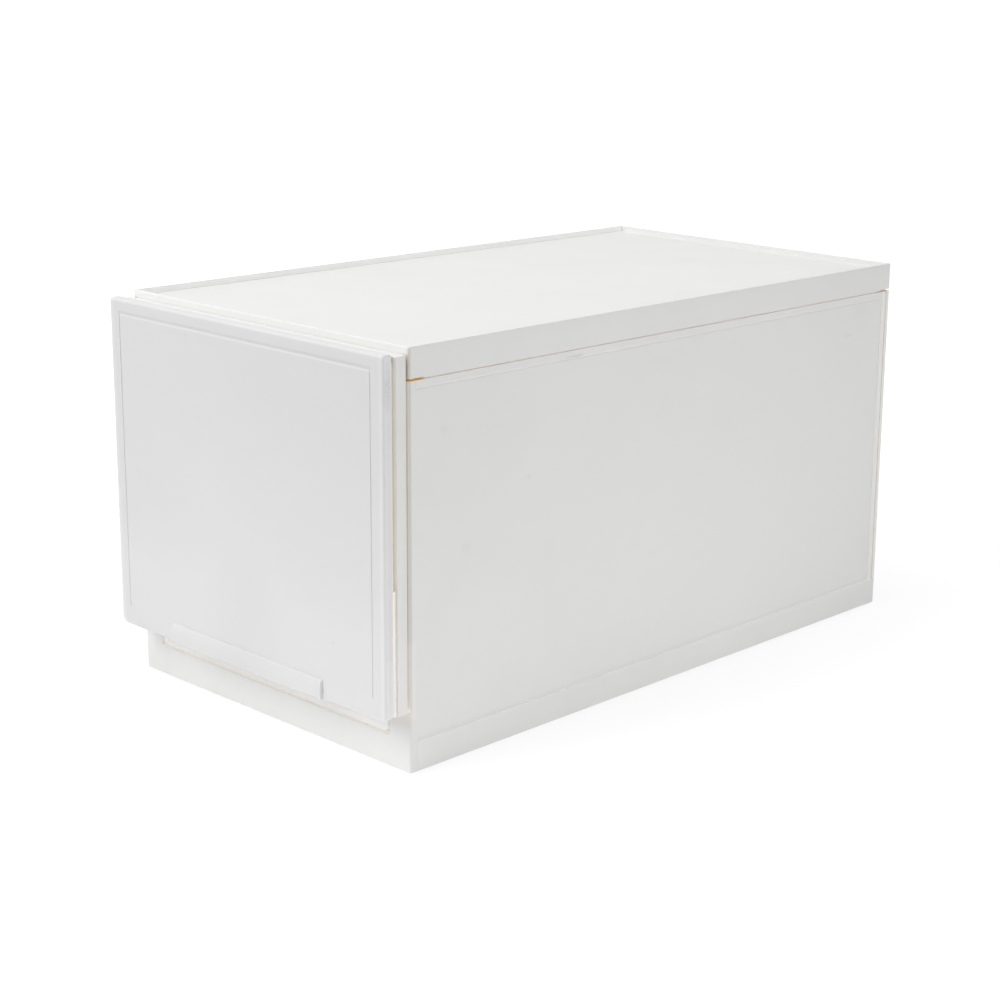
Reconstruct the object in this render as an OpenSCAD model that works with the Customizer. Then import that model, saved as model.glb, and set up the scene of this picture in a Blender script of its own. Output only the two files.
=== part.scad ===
// Stackable drawer box: a knock-down case of moulded panels with one sliding drawer.
// Millimetres. +Z is up, the drawer opens towards -Y, and the origin lies on the floor
// under the centre of the closed box. Inside the modules y = 0 is the case's front plane and
// z = 0 the walls' lower edge, which the foot ring holds above the floor.

/* [Case] */
// Width of the case over its side panels
case_w = 266; // [200:1:400]
// Depth of the case from its front plane to its back
case_d = 476; // [360:1:600]
// Height from the walls' lower edge to the top of the lid's rim
case_h = 260; // [180:1:400]
// Outer radius of the upright corners
corner_r = 1.5; // [1:0.1:8]
// Wall thickness of the moulded case panels
wall = 2.5; // [2:0.1:3.5]

/* [Lid] */
// Height of the lid's outer skirt, rim included
skirt_h = 19.4; // [14:0.1:30]
// Width of the raised rim round the stacking tray
rim_w = 2.5; // [1.5:0.1:5]
// Length of the pry notches at the skirt's corners
notch_l = 12; // [6:1:25]
// Height of the pry notches
notch_h = 1; // [0.5:0.1:2]
// Depth of the stacking tray below the rim
tray_depth = 3.8; // [2:0.1:6]
// Thickness of the lid's plate
lid_plate = 2.5; // [2:0.1:4]
// Height of the shadow gap between the skirt and the walls
shadow_gap = 0.6; // [0.3:0.1:1.5]
// Height of the ribs under the lid's plate
lid_rib_h = 3; // [2:0.5:6]
// Number of ribs under the lid's plate
lid_ribs = 5; // [2:1:8]

/* [Base and foot] */
// Height of the top of the plinth band above the walls' lower edge
plinth_h = 19; // [16:0.5:30]
// Height of the foot ring, which drops into the tray of the box below
foot_h = 1.5; // [1:0.1:1.9]
// Width of the foot ring
foot_w = 4; // [3:0.5:12]
// Clearance between the foot ring and the rim of the box below
stack_gap = 1; // [0.5:0.1:2]

/* [Side and back panels] */
// Depth of the recessed field in the side and back panels
field_depth = 0.8; // [0.3:0.1:1]
// Height of the raised band above the side field
top_band = 4.7; // [3:0.1:10]
// Width of the raised band behind the side field
rear_band = 5; // [3:0.5:12]
// Width of the seam between side panel and back panel
rear_seam = 0.8; // [0.4:0.1:1.5]
// Width of the back panel's return round the rear corner
rear_return = 4; // [4:0.5:9]
// Thickness of the inner frame that laps behind the neighbouring panels
lap_t = 2.5; // [2:0.1:3]
// How far the inner frames reach down behind the plinth
lap_down = 12; // [8:0.5:13]
// Width of the upright bands of the inner frame
lap_post = 14; // [10:0.5:24]
// Height of the inner frame's lower band, which carries the runner
lap_low = 39; // [38:1:50]
// Height of the inner frame's upper band, which carries the guide rail
lap_high = 48; // [40:1:60]
// Width of the border round the back panel's field
back_border = 14; // [8:1:30]
// Number of upright stiffening ribs in each side panel
side_ribs = 5; // [2:1:8]
// Width of a stiffening rib
rib_w = 2; // [1.5:0.1:3]
// End play at which lapped parts stay clear of each other
lap_gap = 0.3; // [0.2:0.05:0.5]

/* [Front frame] */
// Width of the upright stiles beside the drawer opening
stile_w = 19; // [16:0.5:30]
// Height of the kick plate's top edge above the walls' lower edge
kick_h = 20; // [17:0.5:30]
// Height of the head rail above the drawer opening
head_h = 9.9; // [8:0.1:20]
// Width of the front frame's return round the side
front_return = 5.5; // [5:0.5:9]
// Depth of the collar round the drawer opening
collar_d = 12; // [9:0.5:20]
// Thickness of the collar
collar_t = 2.2; // [1.8:0.1:3]

/* [Drawer tub] */
// Wall and floor thickness of the drawer tub
tub_wall = 2.2; // [1.8:0.1:3]
// Clearance between the tub and the sides of the opening
tub_side_gap = 1.5; // [1:0.1:3]
// Clearance between the tub and the kick plate's top edge
tub_floor_gap = 1.2; // [0.8:0.1:2]
// Clearance between the tub's rim and the guide rails
tub_top_gap = 0.8; // [0.5:0.1:2]
// Height of the step from the head rail's underside to the tub's rim
tub_rim_drop = 6; // [4:0.5:12]
// Radius of the tub's rear corners
tub_corner_r = 6; // [4:0.5:12]
// Radius of the tub's lower side edges
tub_edge_r = 3; // [1:0.5:5]
// Inward width of the tub's rim bead
tub_bead = 2; // [1:0.1:4]
// Length of the tub behind the face of its stop ears, which stays in the case
drawer_hold = 49.4; // [40:0.1:200]
// Height of the stop ears on the tub's sides
ear_h = 16; // [10:1:30]
// Height of the stop ears' lower edge above the walls' lower edge
ear_z = 62; // [58:1:80]

/* [Drawer front] */
// Shadow gap between the closed drawer and the case
front_gap = 2; // [1:0.1:4]
// Depth of the bezel on the tub's front
bezel_d = 8.9; // [7:0.1:14]
// Wall thickness of the bezel
bezel_wall = 2.2; // [1.8:0.1:3]
// Thickness of the mounting plate between bezel and facing
mount_plate = 1.1; // [0.8:0.1:3]
// Shadow gap between the mounting plate and the facing
facing_gap = 0.9; // [0.5:0.1:4]
// Depth of the facing without its finger lip
facing_d = 6.1; // [5:0.1:12]
// Skin thickness of the facing
facing_skin = 2.2; // [1.8:0.1:3]
// Bevel round the facing's front edges
facing_bevel = 1.8; // [0.5:0.1:2]
// Distance of the facing's side edges inside the case's sides
facing_side_in = 0.5; // [0:0.1:2]
// Distance of the facing's top edge below the lid's rim
facing_top_in = 2.5; // [1:0.1:6]
// Height of the facing's lower edge above the walls' lower edge
facing_z = 36.7; // [34:0.1:50]
// How far the bezel's top edge lies below the facing's
bezel_top_in = 2; // [0:0.1:4]
// How far the bezel's lower edge lies above the facing's
bezel_low_in = 2.1; // [0:0.1:4]
// Width of the border outside the groove on the facing's front
field_border = 10; // [5:0.5:20]
// Height of the border above that groove
field_top = 8; // [4:0.5:20]
// Width of the groove
groove_w = 1.6; // [0.8:0.1:3]
// Depth of the groove
groove_d = 0.6; // [0.2:0.1:1]
// Height above the facing's lower edge at which the groove ends
groove_end = 13.5; // [8:0.5:30]
// Depth of the rebate round the bezel's face
rebate_d = 1.1; // [0.3:0.1:1.3]
// Width of that rebate
rebate_w = 4; // [2:0.5:8]
// Height above which the mounting plate is set in by the rebate's width
plate_step_z = 117; // [70:1:150]

/* [Finger lip] */
// Width of the finger lip
lip_w = 150; // [80:1:170]
// Height of the finger lip
lip_h = 13; // [10:0.5:20]
// How far the lip stands out from the facing
lip_out = 2.2; // [1:0.1:4]
// Height of the finger pocket's roof above the facing's lower edge
pocket_h = 16.5; // [12:0.5:24]
// Width of the finger pocket beyond the lip at each side
pocket_side = 3; // [1:0.5:8]

/* [Runners] */
// Clearance at which the tub rests over the runner's ledge
slide_gap = 0.3; // [0.2:0.05:0.5]
// Side clearance between the tub and the runner's fin
fin_gap = 0.7; // [0.4:0.1:1]
// Thickness of the runners and guide rails
rail_t = 2.2; // [1.8:0.1:3]
// Thickness of the ledge that carries the tub
ledge_t = 2.7; // [2:0.1:4]
// Width of the ledge under the tub
ledge_w = 15; // [8:0.5:25]
// Thickness of the legs that carry the runner on the base panel
leg_t = 2; // [1.5:0.1:3]
// Height of the runner's fin above its ledge
fin_h = 13; // [8:0.5:15]
// Height of the runners' flanges that are screwed to the side panels
rail_flange = 18; // [15:0.5:22]
// Height of the runner's shelf above the walls' lower edge
shelf_z = 24; // [22:0.5:26]
// End clearance of the rails behind the front frame's collar
rail_end_gap = 0.5; // [0.3:0.1:2]
// Distance of the drawer's rear stop wall from the rails' rear end
rear_stop = 2.5; // [1:0.1:10]
// Length of the front stop blocks
stop_len = 13.5; // [10:0.5:20]
// Width of the front stop blocks
stop_w = 8.8; // [5:0.1:9]

/* [Fasteners] */
// Shank diameter of the screws
screw_d = 3; // [2.5:0.1:3.5]
// Head diameter of the screws
screw_head = 6.5; // [5.5:0.1:8]
// Head height of the screws and pins
head_t = 1.6; // [1:0.1:2]
// Shank diameter of the lid's push pins
pin_d = 4; // [3:0.1:5]
// Head diameter of the lid's push pins
pin_head = 8; // [6:0.1:9]
// Radial clearance round screws and pins
bore_gap = 0.15; // [0.1:0.05:0.3]
// Thread length of the rail screws in the side panels
rail_bite = 3; // [2:0.1:3.2]
// Length of the push pins' ends in the lid's skirt
pin_bite = 1.4; // [1:0.1:1.6]
// Outer diameter of the facing's screw bosses
boss_d = 9; // [7:0.5:12]
// Distance of the rail screws and pins from the rails' ends
screw_in = 40; // [25:1:80]
// Number of screws in each rail
rail_screws = 3; // [2:1:5]
// Distance of the facing screws from the tub's side walls
facing_screw_in = 12; // [10:1:40]
// Distance of the facing screws from the tub's rim and the pocket's roof
facing_screw_up = 24; // [15:1:60]
// Clearance between the guide rails' flanges and the push pins' heads
pin_clear = 1.2; // [0.5:0.1:3]

/* [Hidden] */
$fn = 48;
warm_white = [0.90, 0.89, 0.86];
cool_white = [0.90, 0.91, 0.93];
steel = [0.62, 0.63, 0.65];
eps = 0.01;

// Case planes
x_out = case_w / 2;                              // outer face of the side panels
x_in = x_out - wall;                             // inner face of their skin
x_lap = x_in - lap_t;                            // inner face of their lapped frame
y_rear_skin = case_d - wall;                     // inner face of the back panel
side_top = case_h - skirt_h - shadow_gap;        // top edge of the side panels' skin
skirt_z = case_h - skirt_h;                      // lower edge of the lid's skirt
tray_z = case_h - tray_depth;                    // floor of the stacking tray
lid_under = tray_z - lid_plate;                  // underside of the lid's plate
base_floor = wall;                               // inner floor of the base panel
foot_in = rim_w + stack_gap;                     // set-in of the foot ring
side_rear = case_d - rear_return - rear_seam;    // rear edge of the side panels' skin

lap_z = plinth_h - lap_down;                     // lower edge of the lapped frames
lap_y = [wall + lap_gap, y_rear_skin - lap_gap]; // front and rear edge of the side panels' frame

// Drawer opening
open_x = x_out - stile_w;
open_top = side_top - head_h;

// Drawer planes
bezel_y = -front_gap - bezel_d;                  // front face of the bezel
bezel_back = bezel_y + bezel_wall;               // rear face of the bezel's plate
plate_y = bezel_y - mount_plate;                 // front face of the mounting plate
facing_back = plate_y - facing_gap;              // rear edge of the facing
facing_y = facing_back - facing_d;               // front face of the facing's field
front_y = facing_y - lip_out;                    // foremost point of the drawer
facing_top = case_h - facing_top_in;
bezel_z = facing_z + bezel_low_in;
bezel_top = facing_top - bezel_top_in;
pocket_z = facing_z + pocket_h;
pocket_x = lip_w / 2 + pocket_side;
tub_x = open_x - tub_side_gap;
tub_z = kick_h + tub_floor_gap;
tub_top = open_top - tub_rim_drop;

// Rails
rail_y = collar_d + rail_end_gap;
rail_len = y_rear_skin - lap_t - lap_gap - rail_y;
ledge_z = tub_z - slide_gap;
stop_y = rail_y + rail_len - rear_stop - rail_t;
tub_rear = stop_y - slide_gap;
fin_x = tub_x + fin_gap;
guide_z = tub_top + tub_top_gap;
block_y = wall + stop_len;
ear_y = tub_rear - drawer_hold;
drawer_travel = ear_y - slide_gap - block_y;     // how far the drawer slides out
ear_x = x_lap - rail_t - fin_gap;
pin_z = (skirt_z + lid_under) / 2 + head_t / 2;
guide_top = pin_z - pin_head / 2 - pin_clear;    // top edge of the guide rails' flanges
runner_screw_z = shelf_z + rail_t + (rail_flange - rail_t) / 2;
guide_screw_z = (guide_z + rail_t + guide_top) / 2 - screw_head / 4;

// Moves what is drawn from the case's front plane to the centred origin, and up onto the foot ring
module in_place() {
    translate([0, -(case_d + front_y) / 2, foot_h]) children();
}

module box(x0, x1, y0, y1, z0, z1) {
    translate([x0, y0, z0]) cube([x1 - x0, y1 - y0, z1 - z0]);
}

// Upright prism with rounded corners
module rounded_box(x0, x1, y0, y1, z0, z1, r) {
    box(x0 + r, x1 - r, y0, y1, z0, z1);
    box(x0, x1, y0 + r, y1 - r, z0, z1);
    for (x = [x0 + r, x1 - r], y = [y0 + r, y1 - r])
        translate([x, y, z0]) cylinder(r = r, h = z1 - z0);
}

// The case's outline, set in by a distance
module case_prism(inset, z0, z1) {
    rounded_box(-x_out + inset, x_out - inset, inset, case_d - inset, z0, z1, max(corner_r - inset, 0.5));
}

module case_shell(z0, z1) {
    difference() {
        case_prism(0, z0, z1);
        case_prism(wall, z0 - 1, z1 + 1);
    }
}

// Profile drawn in x and z, drawn out along y
module along_y(y0, y1) {
    translate([0, y1, 0]) rotate([90, 0, 0]) linear_extrude(height = y1 - y0) children();
}

// Profile drawn in y and z, drawn out along x
module along_x(x0, x1) {
    translate([x0, 0, 0]) rotate([90, 0, 90]) linear_extrude(height = x1 - x0) children();
}

module left_side() {
    mirror([1, 0, 0]) children();
}

// Cylinder along x from x0 to x1
module x_rod(d, x0, x1) {
    translate([x0, 0, 0]) rotate([0, 90, 0]) cylinder(d = d, h = x1 - x0);
}

// Cylinder along y from y0 to y1
module y_rod(d, y0, y1) {
    translate([0, y1, 0]) rotate([90, 0, 0]) cylinder(d = d, h = y1 - y0);
}

// Places along a rail at which its screws sit
function rail_stations() =
    [for (i = [0:rail_screws - 1]) rail_y + screw_in + i * (rail_len - 2 * screw_in) / (rail_screws - 1)];
pin_stations = [rail_y + screw_in / 2, rail_y + rail_len - screw_in / 2];
facing_screw_x = tub_x - facing_screw_in;
facing_screw_z = [pocket_z + facing_screw_up, tub_top - facing_screw_up];

module at_rail_screws(z) {
    for (y = rail_stations()) translate([0, y, z]) children();
}

module at_pins() {
    for (y = pin_stations) translate([0, y, pin_z]) children();
}

module at_facing_screws() {
    for (x = [-facing_screw_x, facing_screw_x], z = facing_screw_z) translate([x, 0, z]) children();
}

// ---- Case ----

// Shallow pan that forms the plinth, with the foot ring below
module base_panel() color(warm_white) in_place() {
    difference() {
        intersection() {
            case_prism(0, 0, plinth_h);
            box(-case_w, case_w, front_return, case_d + 1, -1, plinth_h + 1);
        }
        case_prism(wall, base_floor, plinth_h + 1);
    }
    foot_ring();
}

module foot_ring() {
    x = x_out - foot_in;
    y = [max(foot_in, front_return), case_d - foot_in];
    difference() {
        box(-x, x, y[0], y[1], -foot_h, eps);
        box(-x + foot_w, x - foot_w, y[0] + foot_w, y[1] - foot_w, -foot_h - 1, 0);
    }
}

// Skin with a recessed field, and the inner frame that laps behind all its neighbours
module side_panel() {
    difference() {
        union() {
            box(x_in - eps, x_out, front_return, side_rear, plinth_h, side_top);
            side_lap_frame();
        }
        box(x_out - field_depth, x_out + 1, front_return - 1, side_rear - rear_band, plinth_h - 1,
            side_top - top_band);
        at_rail_screws(runner_screw_z) x_rod(screw_d + 2 * bore_gap, x_lap - 1, x_lap + rail_bite + lap_gap);
        at_rail_screws(guide_screw_z) x_rod(screw_d + 2 * bore_gap, x_lap - 1, x_lap + rail_bite + lap_gap);
        at_pins() x_rod(pin_d + 2 * bore_gap, x_lap - 1, x_in + 1);
    }
}

// Inner outline of the case, with corners that clear those of its shells
module lap_outline() {
    rounded_box(-x_in, x_in, lap_y[0], lap_y[1], lap_z, lid_under, max(corner_r - wall, 0.5) + lap_gap);
}

module side_lap_frame() {
    low = lap_z + lap_low;
    high = lid_under - lap_high;
    difference() {
        intersection() {
            lap_outline();
            box(x_lap, x_in, 0, case_d, lap_z, lid_under);
        }
        box(x_lap - 1, x_in + 1, lap_y[0] + lap_post, lap_y[1] - lap_post, low, high);
    }
    for (i = [1:side_ribs]) {
        y = lap_y[0] + lap_post + i * (lap_y[1] - lap_y[0] - 2 * lap_post) / (side_ribs + 1);
        box(x_lap, x_in, y - rib_w / 2, y + rib_w / 2, low - eps, high + eps);
    }
}

module side_panel_right() color(warm_white) in_place() side_panel();
module side_panel_left() color(warm_white) in_place() left_side() side_panel();

// Skin with short returns round the rear corners, and laps behind lid and base
module back_panel() color(warm_white) in_place() {
    difference() {
        intersection() {
            case_shell(plinth_h, side_top);
            box(-case_w, case_w, case_d - rear_return, case_d + 1, 0, case_h);
        }
        box(-x_out + back_border, x_out - back_border, case_d - field_depth, case_d + 1,
            plinth_h + back_border / 2, side_top - back_border / 2);
    }
    back_lap(lap_z, plinth_h + lap_down);
    back_lap(side_top - lap_post, lid_under);
}

module back_lap(z0, z1) {
    x = x_lap - lap_gap;
    box(-x, x, y_rear_skin - lap_t, y_rear_skin, z0, z1);
}

// Moulded ring of kick plate, stiles and head rail, with a collar round the opening
module front_frame() color(warm_white) in_place() {
    difference() {
        union() {
            intersection() {
                case_shell(0, side_top);
                box(-case_w, case_w, -1, front_return, -1, case_h);
            }
            box(-x_in - eps, x_in + eps, wall - eps, front_return, 0, base_floor);
            box(-open_x - collar_t, open_x + collar_t, wall - eps, collar_d, kick_h - collar_t,
                open_top + collar_t);
        }
        box(-open_x, open_x, -1, collar_d + 1, kick_h, open_top);
    }
}

// Plate with a raised rim above and a skirt below
module lid() color(warm_white) in_place() {
    difference() {
        case_prism(0, skirt_z, case_h);
        case_prism(rim_w, tray_z, case_h + 1);
        case_prism(wall, skirt_z - 1, lid_under);
        for (side = [0, 1]) mirror([side, 0, 0]) {
            at_pins() x_rod(pin_d + 2 * bore_gap, x_lap, x_in + pin_bite + bore_gap);
            for (y = [-1, case_d - notch_l])
                box(x_in - 1, x_out + 1, y, y + notch_l + 1, skirt_z - 1, skirt_z + notch_h);
        }
    }
    rib_x = x_lap - lap_gap - head_t;
    for (i = [1:lid_ribs]) {
        y = i * case_d / (lid_ribs + 1);
        box(-rib_x, rib_x, y - rib_w / 2, y + rib_w / 2, lid_under - lid_rib_h, lid_under + eps);
    }
}

// ---- Rails, stops and fasteners of the case ----

// Ledge under the tub, fin beside it, shelf and screw flange out to the side panel, legs and a rear stop
module runner() {
    difference() {
        along_y(rail_y, rail_y + rail_len) {
            polygon([[fin_x - ledge_w, ledge_z - ledge_t], [fin_x + rail_t, ledge_z - ledge_t],
                     [fin_x + rail_t, shelf_z], [x_lap, shelf_z], [x_lap, shelf_z + rail_flange],
                     [x_lap - rail_t, shelf_z + rail_flange], [x_lap - rail_t, shelf_z + rail_t],
                     [fin_x + rail_t, shelf_z + rail_t], [fin_x + rail_t, ledge_z + fin_h],
                     [fin_x, ledge_z + fin_h], [fin_x, ledge_z], [fin_x - ledge_w, ledge_z]]);
        }
        at_rail_screws(runner_screw_z) x_rod(screw_d + 2 * bore_gap, x_lap - rail_t - 1, x_lap + 1);
    }
    box(fin_x - ledge_w, fin_x + eps, stop_y, stop_y + rail_t, ledge_z - eps, ledge_z + fin_h);
    for (x = [fin_x - ledge_w, fin_x + rail_t - leg_t])
        box(x, x + leg_t, rail_y, rail_y + rail_len, base_floor, ledge_z - ledge_t / 2);
}

module runner_right() color(warm_white) in_place() runner();
module runner_left() color(warm_white) in_place() left_side() runner();

// Angle over the tub's rim, which keeps the open drawer from tipping
module guide_rail() {
    difference() {
        along_y(rail_y, rail_y + rail_len) {
            polygon([[fin_x - ledge_w + rail_t, guide_z], [x_lap, guide_z], [x_lap, guide_top],
                     [x_lap - rail_t, guide_top], [x_lap - rail_t, guide_z + rail_t],
                     [fin_x - ledge_w + rail_t, guide_z + rail_t]]);
        }
        at_rail_screws(guide_screw_z) x_rod(screw_d + 2 * bore_gap, x_lap - rail_t - 1, x_lap + 1);
    }
}

module guide_rail_right() color(warm_white) in_place() guide_rail();
module guide_rail_left() color(warm_white) in_place() left_side() guide_rail();

// Block behind the stile that the tub's ear meets when the drawer is fully open
module stop_block() {
    x0 = open_x + collar_t;
    box(x0, x0 + stop_w, wall, block_y, ear_z, ear_z + ear_h);
}

module stop_block_right() color(warm_white) in_place() stop_block();
module stop_block_left() color(warm_white) in_place() left_side() stop_block();

// Pan-head screw along +x with its head's underside at x = 0
module x_screw(reach) {
    difference() {
        union() {
            x_rod(screw_d, -eps, reach);
            x_rod(screw_head, -head_t, 0);
        }
        cross_slot(screw_head * 0.55);
    }
}

module cross_slot(span) {
    slot = screw_d / 4;
    box(-head_t - 1, -head_t / 2, -span / 2, span / 2, -slot / 2, slot / 2);
    box(-head_t - 1, -head_t / 2, -slot / 2, slot / 2, -span / 2, span / 2);
}

module runner_screws() {
    translate([x_lap - rail_t, 0, 0]) at_rail_screws(runner_screw_z) x_screw(rail_t + rail_bite);
}

module guide_screws() {
    translate([x_lap - rail_t, 0, 0]) at_rail_screws(guide_screw_z) x_screw(rail_t + rail_bite);
}

module runner_screws_right() color(steel) in_place() runner_screws();
module runner_screws_left() color(steel) in_place() left_side() runner_screws();
module guide_screws_right() color(steel) in_place() guide_screws();
module guide_screws_left() color(steel) in_place() left_side() guide_screws();

// Push pins that lock the lid's skirt to the side panel's lap
module lid_pins() {
    at_pins() {
        x_rod(pin_d, x_lap - eps, x_in + pin_bite);
        x_rod(pin_head, x_lap - head_t, x_lap);
    }
}

module lid_pins_right() color(warm_white) in_place() lid_pins();
module lid_pins_left() color(warm_white) in_place() left_side() lid_pins();

// ---- Drawer ----

// Open tub with an inward bead round its rim and a stop ear on each side
module drawer_tub() color(warm_white) in_place() {
    rim_in = tub_wall + tub_bead;
    difference() {
        trough(0, 0, tub_z, tub_top);
        trough(tub_wall, tub_wall, tub_z + tub_wall, tub_top - tub_bead);
        trough(rim_in, rim_in, tub_top - 3 * tub_bead, tub_top + 1);
        at_facing_screws() y_rod(screw_d + 2 * bore_gap, -1, tub_wall + 1);
    }
    for (side = [0, 1]) mirror([side, 0, 0]) stop_ear();
}

// Trough with rounded lower side edges, set in by a distance and rounded in plan at its rear
module trough(inset, y0, z0, z1) {
    x = tub_x - inset;
    r = max(tub_corner_r - inset, 0.5);
    edge_r = max(tub_edge_r - inset, 0.5);
    intersection() {
        rounded_box(-x, x, y0 - 2 * r, tub_rear - inset, z0, z1, r);
        along_y(y0, case_d) trough_profile(x, z0, z1, edge_r);
    }
}

module trough_profile(x, z0, z1, r) {
    translate([-x, z0 + r]) square([2 * x, z1 - z0 - r]);
    translate([-x + r, z0]) square([2 * (x - r), z1 - z0]);
    for (side = [-1, 1]) translate([side * (x - r), z0 + r]) circle(r = r);
}

module stop_ear() {
    x = tub_x - tub_wall / 2;
    box(x, ear_x, ear_y, ear_y + 2 * rail_t, ear_z, ear_z + ear_h);
    ear_gusset(x, ear_z + ear_h / 2 - rib_w / 2);
}

// Flat gusset behind an ear
module ear_gusset(x, z) {
    translate([0, 0, z]) linear_extrude(height = rib_w)
        polygon([[x, ear_y + rail_t], [ear_x, ear_y + rail_t], [ear_x, ear_y + 2 * rail_t],
                 [x, ear_y + 2 * rail_t + ear_x - x]]);
}

// Shallow pan in front of the case, as wide as the case, with a surround for the finger pocket and four
// bosses that stand on the tub's front wall
module front_bezel() color(warm_white) in_place() {
    pocket_out = pocket_x + bezel_wall;
    difference() {
        union() {
            bezel_pan();
            box(-pocket_out, pocket_out, bezel_y, 0, bezel_z, pocket_z + bezel_wall);
            at_facing_screws() y_rod(boss_d, bezel_back - eps, 0);
        }
        box(-pocket_x, pocket_x, bezel_y - 1, 1, bezel_z - 1, pocket_z);
        at_facing_screws() y_rod(screw_d + 2 * bore_gap, bezel_y - 1, 1);
        bezel_rebate();
    }
}

module bezel_pan() {
    x = x_out - bezel_wall;
    difference() {
        box(-x_out, x_out, bezel_y, -front_gap, bezel_z, bezel_top);
        box(-x, x, bezel_back, 1, bezel_z + bezel_wall, bezel_top - bezel_wall);
    }
}

module bezel_rebate() {
    x = x_out - rebate_w;
    difference() {
        box(-x_out - 1, x_out + 1, bezel_y - 1, bezel_y + rebate_d, bezel_z - 1, bezel_top + 1);
        box(-x, x, bezel_y - 2, bezel_y + 2 * rebate_d, bezel_z + rebate_w, bezel_top - rebate_w);
    }
}

// Thin plate between the bezel and the facing
module front_mounting_plate() color(warm_white) in_place() difference() {
    union() {
        box(-x_out, x_out, plate_y, bezel_y, bezel_z, plate_step_z);
        box(-x_out + rebate_w, x_out - rebate_w, plate_y, bezel_y, bezel_z, bezel_top - rebate_w);
    }
    box(-pocket_x, pocket_x, plate_y - 1, bezel_y + 1, bezel_z - 1, pocket_z);
    at_facing_screws() y_rod(screw_d + 2 * bore_gap, plate_y - 1, bezel_y + 1);
}

// Bevelled shell with an outlined field, a finger lip at its lower edge and four screw bosses behind
module front_facing() color(cool_white) in_place() {
    x = x_out - facing_side_in;
    difference() {
        union() {
            difference() {
                facing_shell(x);
                facing_groove(x - field_border);
                facing_hollow(x);
            }
            finger_lip();
            at_facing_screws() y_rod(boss_d, facing_y + facing_skin - eps, plate_y);
        }
        finger_hollow();
        at_facing_screws() y_rod(screw_d + 2 * bore_gap, facing_y + facing_skin, plate_y + 1);
    }
}

module facing_shell(x) {
    hull() {
        box(-x, x, facing_y + facing_bevel, facing_back, facing_z, facing_top);
        box(-x + facing_bevel, x - facing_bevel, facing_y, facing_back, facing_z, facing_top - facing_bevel);
    }
}

// Groove that outlines the field at the top and both sides
module facing_groove(x) {
    z0 = facing_z + groove_end;
    z1 = facing_top - field_top;
    difference() {
        box(-x, x, facing_y - 1, facing_y + groove_d, z0, z1);
        box(-x + groove_w, x - groove_w, facing_y - 2, facing_y + 1, z0 - 1, z1 - groove_w);
    }
}

module facing_hollow(x) {
    box(-x + facing_skin, x - facing_skin, facing_y + facing_skin, facing_back + 1, facing_z + facing_skin,
        facing_top - facing_skin);
}

// Convex strip along the lower edge that fingers pull from behind
module finger_lip() {
    along_x(-lip_w / 2, lip_w / 2) polygon([
        [facing_y + facing_skin, facing_z], [facing_y + facing_skin, facing_z + lip_h],
        [facing_y, facing_z + lip_h], [facing_y - lip_out * 0.6, facing_z + lip_h * 0.8],
        [front_y, facing_z + lip_h * 0.5], [front_y, facing_z + lip_h * 0.1],
        [front_y + lip_out * 0.3, facing_z]]);
}

// Space behind the lip, open downwards
module finger_hollow() {
    x = lip_w / 2 - facing_skin;
    box(-x, x, facing_y + facing_skin - lip_out * 0.6, facing_back + 1, facing_z - 1,
        facing_z + lip_h - facing_skin * 1.5);
}

// Screws driven from inside the tub into the facing's bosses
module facing_screws() color(steel) in_place()
    at_facing_screws() rotate([0, 0, -90]) translate([-tub_wall, 0, 0])
        x_screw(tub_wall - (facing_y + facing_skin) - lap_gap);

base_panel();
side_panel_left();
side_panel_right();
back_panel();
front_frame();
lid();
runner_left();
runner_right();
guide_rail_left();
guide_rail_right();
stop_block_left();
stop_block_right();
runner_screws_left();
runner_screws_right();
guide_screws_left();
guide_screws_right();
lid_pins_left();
lid_pins_right();
drawer_tub();
front_bezel();
front_mounting_plate();
front_facing();
facing_screws();
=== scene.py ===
"""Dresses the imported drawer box: moulded shells, plastics, steel, a plain studio and the camera.

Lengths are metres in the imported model's frame: +Z is up, and the drawer opens towards -Y.
"""

from collections import namedtuple
from contextlib import contextmanager
from math import cos, pi, radians, sin

import bmesh
import bpy
from bpy.props import FloatProperty, FloatVectorProperty, IntProperty, PointerProperty
from bpy.types import NodeSocket, Operator, Panel, PropertyGroup
from mathutils import Matrix, Vector


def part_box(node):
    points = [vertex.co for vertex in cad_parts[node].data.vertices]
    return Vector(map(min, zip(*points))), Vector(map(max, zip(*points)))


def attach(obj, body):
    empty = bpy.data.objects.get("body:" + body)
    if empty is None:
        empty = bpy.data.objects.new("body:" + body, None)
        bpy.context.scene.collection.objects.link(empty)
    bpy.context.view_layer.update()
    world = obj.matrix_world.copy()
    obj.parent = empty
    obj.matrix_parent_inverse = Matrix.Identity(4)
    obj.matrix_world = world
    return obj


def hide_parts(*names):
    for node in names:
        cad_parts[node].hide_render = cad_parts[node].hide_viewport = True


bl_info = {
    "name": "Drawer Box Dressing",
    "version": (1, 0, 0),
    "blender": (4, 5, 0),
    "location": "3D View > Sidebar > Drawer Box",
    "description": "Models and finishes the moulded shells of a stackable drawer box",
    "category": "Object",
}

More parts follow.
